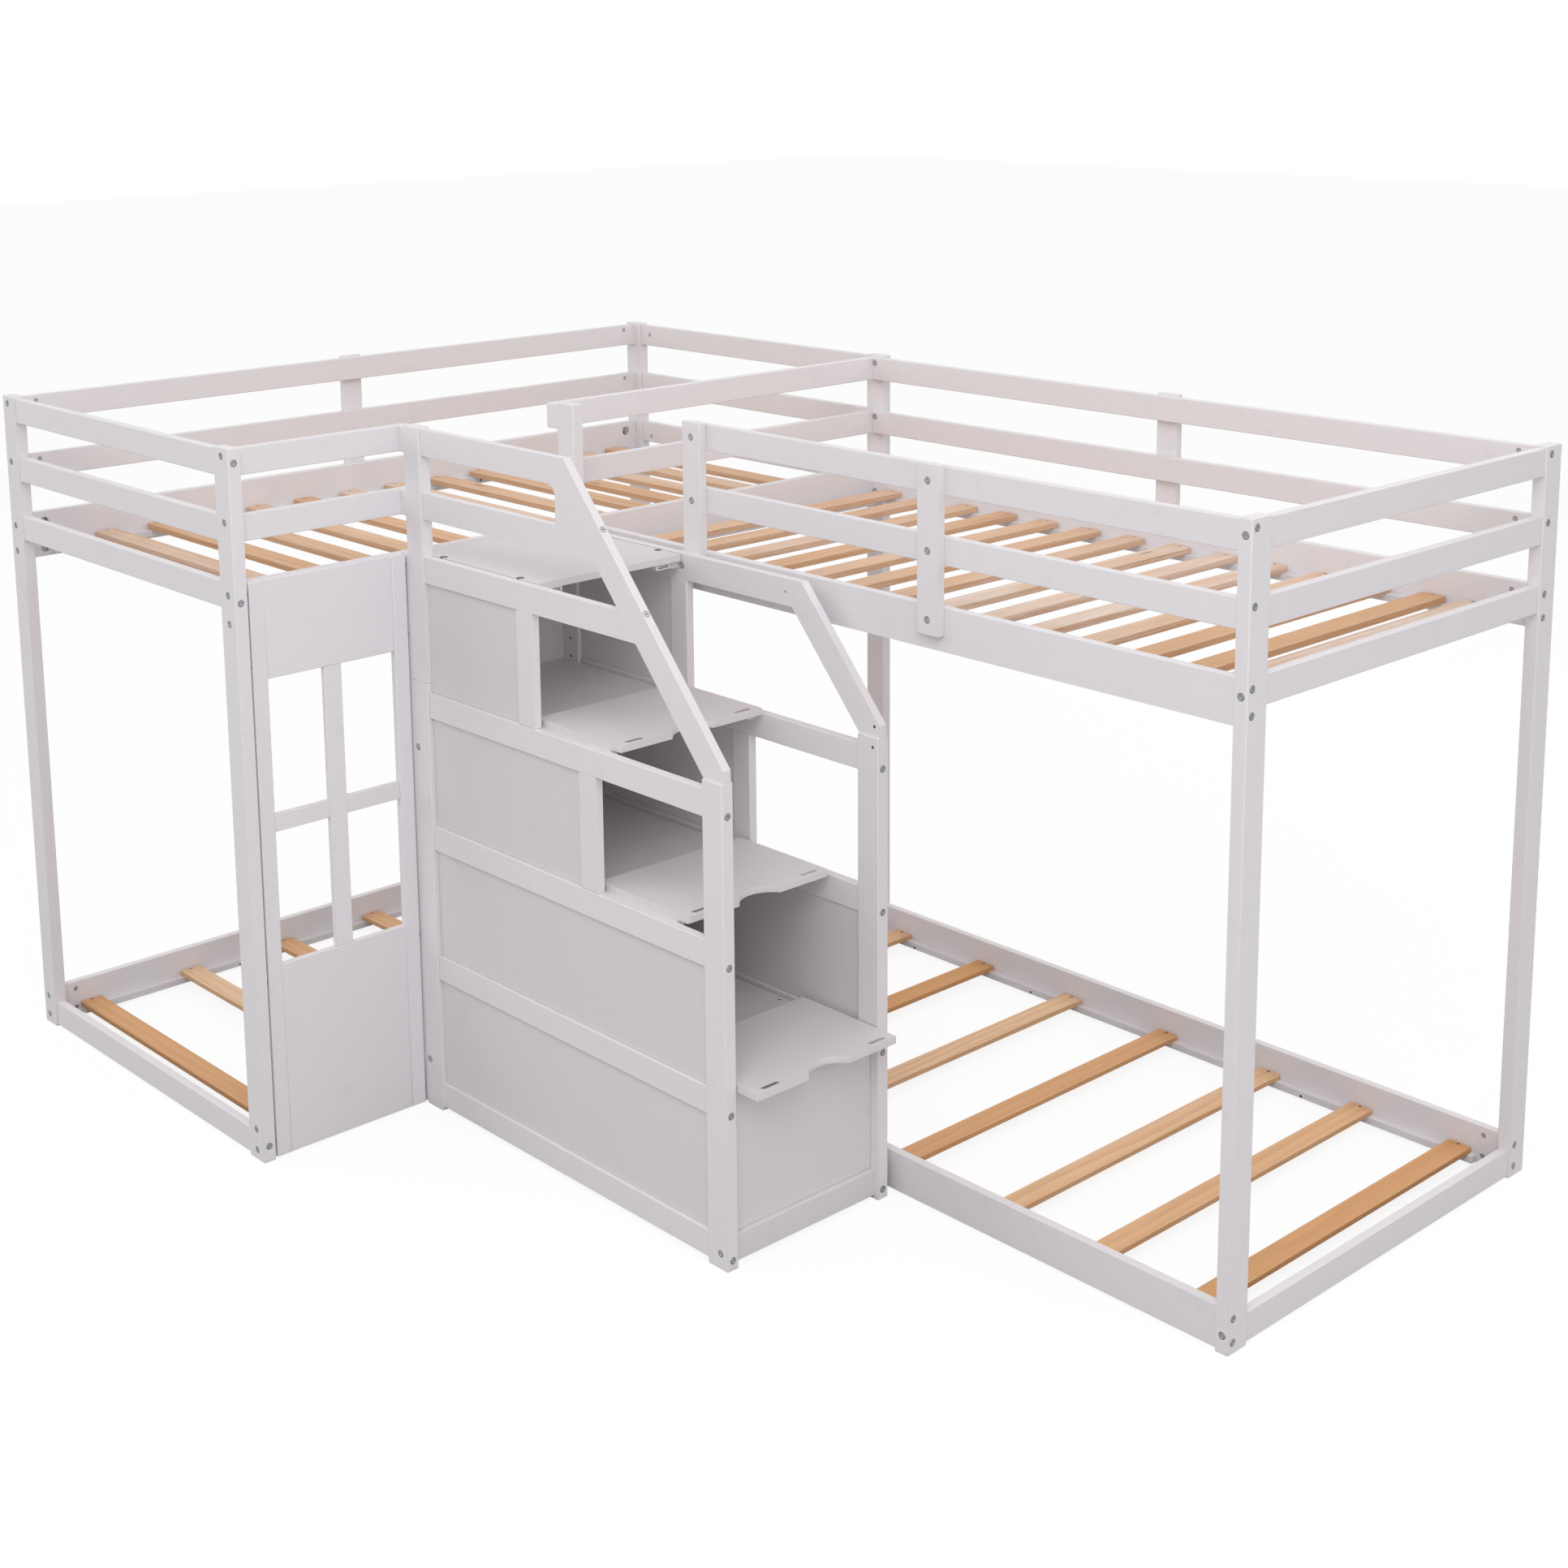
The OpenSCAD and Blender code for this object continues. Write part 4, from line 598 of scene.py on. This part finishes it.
# directions of a board: along its longest straight edge, then across, then through its thickness
def boardBasis(island):
    digits = meshRules["lengthDigits"]
    longest = max(around(island, "link_edges"), key=lambda edge: round(edge.calc_length(), digits))
    along = (longest.verts[1].co - longest.verts[0].co).normalized()
    if max(along, key=abs) < 0:
        along.negate()
    for guess in (Vector((0, 0, 1)), Vector((0, 1, 0)), Vector((1, 0, 0))):
        across = guess.cross(along)
        if across.length >= meshRules["leastSlant"]:
            break
    across.normalize()
    through = along.cross(across)
    spans = [max(v.co.dot(axis) for v in island) - min(v.co.dot(axis) for v in island)
             for axis in (across, through)]
    return (along, across, through) if spans[0] >= spans[1] else (along, through, across)


grainShift = dict(along=4, across=0.09, depth=(0.02, 0.06))  # where a board was cut from its tree


# grain coordinates, tone and masks of every board, then the mesh itself
def writeAttributes(mesh, bm, tagged, seed, smoothArea):
    dice = random.Random(seed)
    bm.faces.index_update()
    places = [0.0] * (3 * sum(len(face.verts) for face in bm.faces))
    tones, masks, sides = ([0.0] * len(bm.faces) for i in range(3))
    starts, total = [], 0
    for face in bm.faces:
        starts.append(total)
        total += len(face.verts)
    for island in findIslands(bm):
        along, across, through = boardBasis(island)
        middle = sum((vert.co for vert in island), Vector()) / len(island)
        shift = Vector((
            dice.uniform(-grainShift["along"], grainShift["along"]),
            dice.uniform(-grainShift["across"], grainShift["across"]),
            dice.uniform(*grainShift["depth"]),
        ))
        tone = dice.random()
        for face in around(island, "link_faces"):
            tones[face.index] = tone
            masks[face.index] = float(face[tagged])
            sides[face.index] = 0.0 if abs(face.normal.dot(through)) > meshRules["broadSide"] else 1.0
            for i, loop in enumerate(face.loops):
                away = loop.vert.co - middle
                at = 3 * (starts[face.index] + i)
                places[at] = away.dot(along) + shift.x
                places[at + 1] = away.dot(across) + shift.y
                places[at + 2] = away.dot(through) + shift.z
    least, most = meshRules["curve"]
    for face in bm.faces:
        angles = [edge.calc_face_angle(0.0) for edge in face.edges if len(edge.link_faces) == 2]
        curved = any(least < angle < most for angle in angles)
        face.smooth = bool(face[tagged]) or (curved and face.calc_area() < smoothArea)
    for edge in bm.edges:
        edge.smooth = len(edge.link_faces) == 2 and edge.calc_face_angle(0.0) < meshRules["crease"]
    bm.to_mesh(mesh)
    mesh.attributes.new("grainPlace", "FLOAT_VECTOR", "CORNER").data.foreach_set("vector", places)
    for key, values in (("boardTone", tones), ("edgeMask", masks), ("sideMask", sides)):
        mesh.attributes.new(key, "FLOAT", "FACE").data.foreach_set("value", values)


# true where no face folds over itself when it is cut into triangles
def staysFlat(bm):
    test = bm.copy()
    before = sum(face.calc_area() for face in test.faces)
    bmesh.ops.triangulate(test, faces=test.faces[:])
    after = sum(face.calc_area() for face in test.faces)
    test.free()
    return abs(after - before) < before * meshRules["areaChange"]


# a node's boards with soft edges: without merged faces where they would fold, and sharp as a last resort
def softBoards(node, values):
    for merge, rounding in ((True, values), (False, values), (False, None)):
        bm = copyNode(node)
        if merge:
            bmesh.ops.dissolve_limit(bm, angle_limit=meshRules["flatAngle"], verts=bm.verts[:],
                                     edges=bm.edges[:])
        tagged = roundEdges(bm, rounding) if rounding else bm.faces.layers.int.new("rounded")
        if rounding is None or staysFlat(bm):
            return bm, tagged
        bm.free()
        print(node, "is made again, merge", merge)


handrailCap = dict(leastSpan=0.02)  # the only fasteners that slope


def isSloping(island):
    low, high = corners(island)
    return min(high.x - low.x, high.z - low.z) > handrailCap["leastSpan"]


# the two caps on the handrail are white plastic among the screws
def paintCaps(bm):
    for island in findIslands(bm):
        if isSloping(island):
            for face in around(island, "link_faces"):
                face.material_index = 1


catchMouth = dict(side=0.0035, end=0.002, skin=0.0003, depth=0.006)


# painted shade: the faces inside the open front of each catch take the dark hole-shade material
def paintCatchMouthShade(bm):
    side, end = catchMouth["side"], catchMouth["end"]
    for island in findIslands(bm):
        low, high = corners(island)
        for face in around(island, "link_faces"):
            at = face.calc_center_median()
            inside = low.y + side < at.y < high.y - side and low.z + end < at.z < high.z - end
            if inside and high.x - catchMouth["depth"] < at.x < high.x - catchMouth["skin"]:
                face.material_index = 1


bodyOf = {node: body for body, nodes in frame["record"]["behaviour"]["bodies"].items() for node in nodes}
slotOf = {part["node"]: part["material_slot"] for part in frame["record"]["subparts"]}

slotMaterial = dict(painted_wood="paint", painted_panel="panel", pine_slats="pine", plywood_slats="plywood",
                    zinc_hardware="zinc")
special = dict(screws_and_pins="steel", lid_catches="plastic")  # nodes that differ from their slot
second = dict(screws_and_pins=("plastic", paintCaps), lid_catches=("hollow", paintCatchMouthShade))
small = ("frame_bolts", "barrel_nuts", "screws_and_pins", "lid_catches", "lid_fittings_1", "lid_fittings_2",
         "lid_fittings_3")
boards = dict(smoothArea=0.0004)  # larger faces of a board stay flat


def placePiece(name, mesh, body):
    piece = bpy.data.objects.new(name, mesh)
    bpy.context.scene.collection.objects.link(piece)
    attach(piece, body)
    return piece


# soft-edged board work standing for one CAD node
def dressNode(node):
    bm, tagged = softBoards(node, smallEdge if node in small else softEdge)
    mesh = bpy.data.meshes.new(node + "_soft")
    mesh.materials.append(materials[special.get(node) or slotMaterial[slotOf[node]]])
    if node in second:
        material, paintFaces = second[node]
        mesh.materials.append(materials[material])
        paintFaces(bm)
    writeAttributes(mesh, bm, tagged, node, boards["smoothArea"])
    bm.free()
    piece = placePiece(node + "_soft", mesh, bodyOf[node])
    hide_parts(node)


for nodeName in frame["nodes"]:
    dressNode(nodeName)
print("boards dressed:", len(frame["nodes"]))

rings = dict(steps=28, smoothArea=1.0)


# ring of a lathe profile about an axis, added to a mesh under way
def addRing(bm, centre, axis, profile):
    turn = axis.to_track_quat("Z", "Y")
    steps = rings["steps"]
    rows = []
    for radius, height in profile:
        angles = [2 * math.pi * i / steps for i in range(steps)]
        points = [Vector((radius * math.cos(angle), radius * math.sin(angle), height)) for angle in angles]
        rows.append([bm.verts.new(centre + turn @ point) for point in points])
    for inner, outer in zip(rows, rows[1:]):
        for i in range(steps):
            j = (i + 1) % steps
            bm.faces.new((inner[i], inner[j], outer[j], outer[i]))


# puts rings in the dark hole-shade material, which is painted shade
def finishRings(name, bm, body):
    bmesh.ops.recalc_face_normals(bm, faces=bm.faces[:])
    tagged = bm.faces.layers.int.new("rounded")
    mesh = bpy.data.meshes.new(name)
    writeAttributes(mesh, bm, tagged, name, rings["smoothArea"])
    bm.free()
    mesh.materials.append(materials["hollow"])
    placePiece(name, mesh, body)


boltShadeRing = dict(
    inner=0.00675, outer=0.0078, lift=0.00012, crest=2.2, headOut=0.0005,
    shank=0.0055, widest=0.02,  # only a head is wider than the shank, and only a bolt is narrower than widest
)


# painted shade: a thin dark lip on the paint around each bolt head, standing for the shade of its counterbore
def makeBoltShadeRings(values):
    bolts = copyNode("frame_bolts")
    shadeLips, count = bmesh.new(), 0
    for island in findIslands(bolts):
        low, high = corners(island)
        spans = list(high - low)
        axis = spans.index(max(spans))
        others = [i for i in range(3) if i != axis]
        middle = (low + high) / 2
        head = [vert.co[axis] for vert in island
                if math.hypot(*(vert.co[i] - middle[i] for i in others)) > values["shank"]]
        if not head or spans[others[0]] > values["widest"]:
            continue
        way = 1.0 if sum(head) / len(head) > middle[axis] else -1.0
        middle[axis] = (max(head) if way > 0 else min(head)) - way * values["headOut"]
        out = Vector([way if i == axis else 0.0 for i in range(3)])
        lift, inner, outer = values["lift"], values["inner"], values["outer"]
        addRing(shadeLips, middle, out, [
            (inner, lift), ((inner + outer) / 2, lift * values["crest"]), (outer, lift)])
        count += 1
    bolts.free()
    finishRings("bolt_rings", shadeLips, "bed")
    print("bolt rings:", count)


makeBoltShadeRings(boltShadeRing)

capShadeMarks = dict(
    middle=0.0021, hub=0.0002, rim=0.0003, lift=0.00015,  # dark middle of a cap
    inside=0.0002, crest=0.0004, outside=0.001,  # dark outline, from the cap's own edge
    flat=0.02, leastRise=0.2, topDepth=0.0002,  # how the cap's sloping top is found
)


# painted shade: dark outline around and dark middle of the two white caps on the handrail, in the hole-shade
# material
def makeCapShadeMarks(values):
    screws = copyNode("screws_and_pins")
    marks = bmesh.new()
    lift = values["lift"]
    for island in findIslands(screws):
        if not isSloping(island):
            continue
        faces = [face for face in around(island, "link_faces")
                 if abs(face.normal.y) < values["flat"] and face.normal.z > values["leastRise"]]
        out = max(faces, key=lambda face: face.calc_area()).normal.copy()
        top = max(vert.co.dot(out) for vert in island)
        cap = [vert.co for vert in island if vert.co.dot(out) > top - values["topDepth"]]
        middle = sum(cap, Vector()) / len(cap)
        edge = max((point - middle).length for point in cap)
        addRing(marks, middle, out, [
            (edge - values["inside"], lift),
            (edge + values["crest"], lift * 2),
            (edge + values["outside"], lift),
        ])
        addRing(marks, middle, out, [
            (values["hub"], lift * 2),
            (values["middle"], lift * 2),
            (values["middle"] + values["rim"], 0),
        ])
    screws.free()
    finishRings("cap_marks", marks, "bed")


makeCapShadeMarks(capShadeMarks)
print("cap marks made")

studio = dict(
    worldStrength=0.66, floorGlow=0.87, floorShade=0.15, floorSize=30.0, floorTone=0.5, aim=(0, 0, 0.7),
    lamps=[
        dict(name="keyLamp", place=(3.6, -3.6, 5.2), size=4.0, power=120, colour=(0.98, 0.97, 1.0)),
        dict(name="fillLamp", place=(-3.6, -4.4, 3.4), size=4.5, power=50, colour=(1.0, 0.98, 0.98)),
        dict(name="sideLamp", place=(6.5, -0.4, 2.6), size=3.5, power=34, colour=(0.99, 0.98, 1.0)),
        dict(name="backLamp", place=(1.0, 4.5, 4.5), size=4.5, power=45, colour=(1.0, 0.96, 0.95)),
    ],
)
white = (1, 1, 1, 1)


def makeLamps(values):
    for lamp in values["lamps"]:
        data = bpy.data.lights.new(lamp["name"], "AREA")
        data.shape = "DISK"
        data.size = lamp["size"]
        data.energy = lamp["power"]
        data.color = lamp["colour"]
        thing = bpy.data.objects.new(lamp["name"], data)
        thing.location = lamp["place"]
        aim = Vector(values["aim"]) - Vector(lamp["place"])
        thing.rotation_euler = aim.to_track_quat("-Z", "Y").to_euler()
        thing.visible_camera = False
        bpy.context.scene.collection.objects.link(thing)


# soft light from all round, seen as plain white by the camera and in reflections
def makeWorld(values):
    world = bpy.data.worlds.new("studio")
    bpy.context.scene.world = world
    world.use_nodes = True
    tree = world.node_tree
    tree.nodes.clear()
    rays = addNode(tree, "ShaderNodeLightPath").outputs
    direct = compute(tree, "MAXIMUM", rays["Is Camera Ray"], rays["Is Glossy Ray"])
    direct = compute(tree, "MAXIMUM", direct, rays["Is Transmission Ray"])
    soft = addNode(tree, "ShaderNodeBackground", {"Color": white, "Strength": values["worldStrength"]})
    plain = addNode(tree, "ShaderNodeBackground", {"Color": white, "Strength": 1.0})
    blend = addNode(tree, "ShaderNodeMixShader", {0: direct, 1: soft.outputs[0], 2: plain.outputs[0]})
    addNode(tree, "ShaderNodeOutputWorld", {"Surface": blend.outputs[0]})


# white floor that keeps faint contact shadows
def makeFloor(values):
    half = values["floorSize"]
    outline = [(-half, -half, 0), (half, -half, 0), (half, half, 0), (-half, half, 0)]
    mesh = bpy.data.meshes.new("studioFloor")
    mesh.from_pydata(outline, [], [(0, 1, 2, 3)])
    material = bpy.data.materials.new("studioFloor")
    material.use_nodes = True
    tree = material.node_tree
    tree.nodes.clear()
    seen = addNode(tree, "ShaderNodeLightPath").outputs["Is Camera Ray"]
    tone, shade = values["floorTone"], values["floorShade"]
    matt = addNode(tree, "ShaderNodeBsdfDiffuse", {"Color": (tone, tone, tone, 1)})
    shadow = addNode(tree, "ShaderNodeBsdfDiffuse", {"Color": (shade, shade, shade, 1)})
    glow = addNode(tree, "ShaderNodeEmission", {"Color": white, "Strength": values["floorGlow"]})
    lit = addNode(tree, "ShaderNodeAddShader", {0: shadow.outputs[0], 1: glow.outputs[0]})
    blend = addNode(tree, "ShaderNodeMixShader", {0: seen, 1: matt.outputs[0], 2: lit.outputs[0]})
    addNode(tree, "ShaderNodeOutputMaterial", {"Surface": blend.outputs[0]})
    mesh.materials.append(material)
    floor = bpy.data.objects.new("studioFloor", mesh)
    bpy.context.scene.collection.objects.link(floor)


makeLamps(studio)
makeWorld(studio)
makeFloor(studio)
print("studio ready")
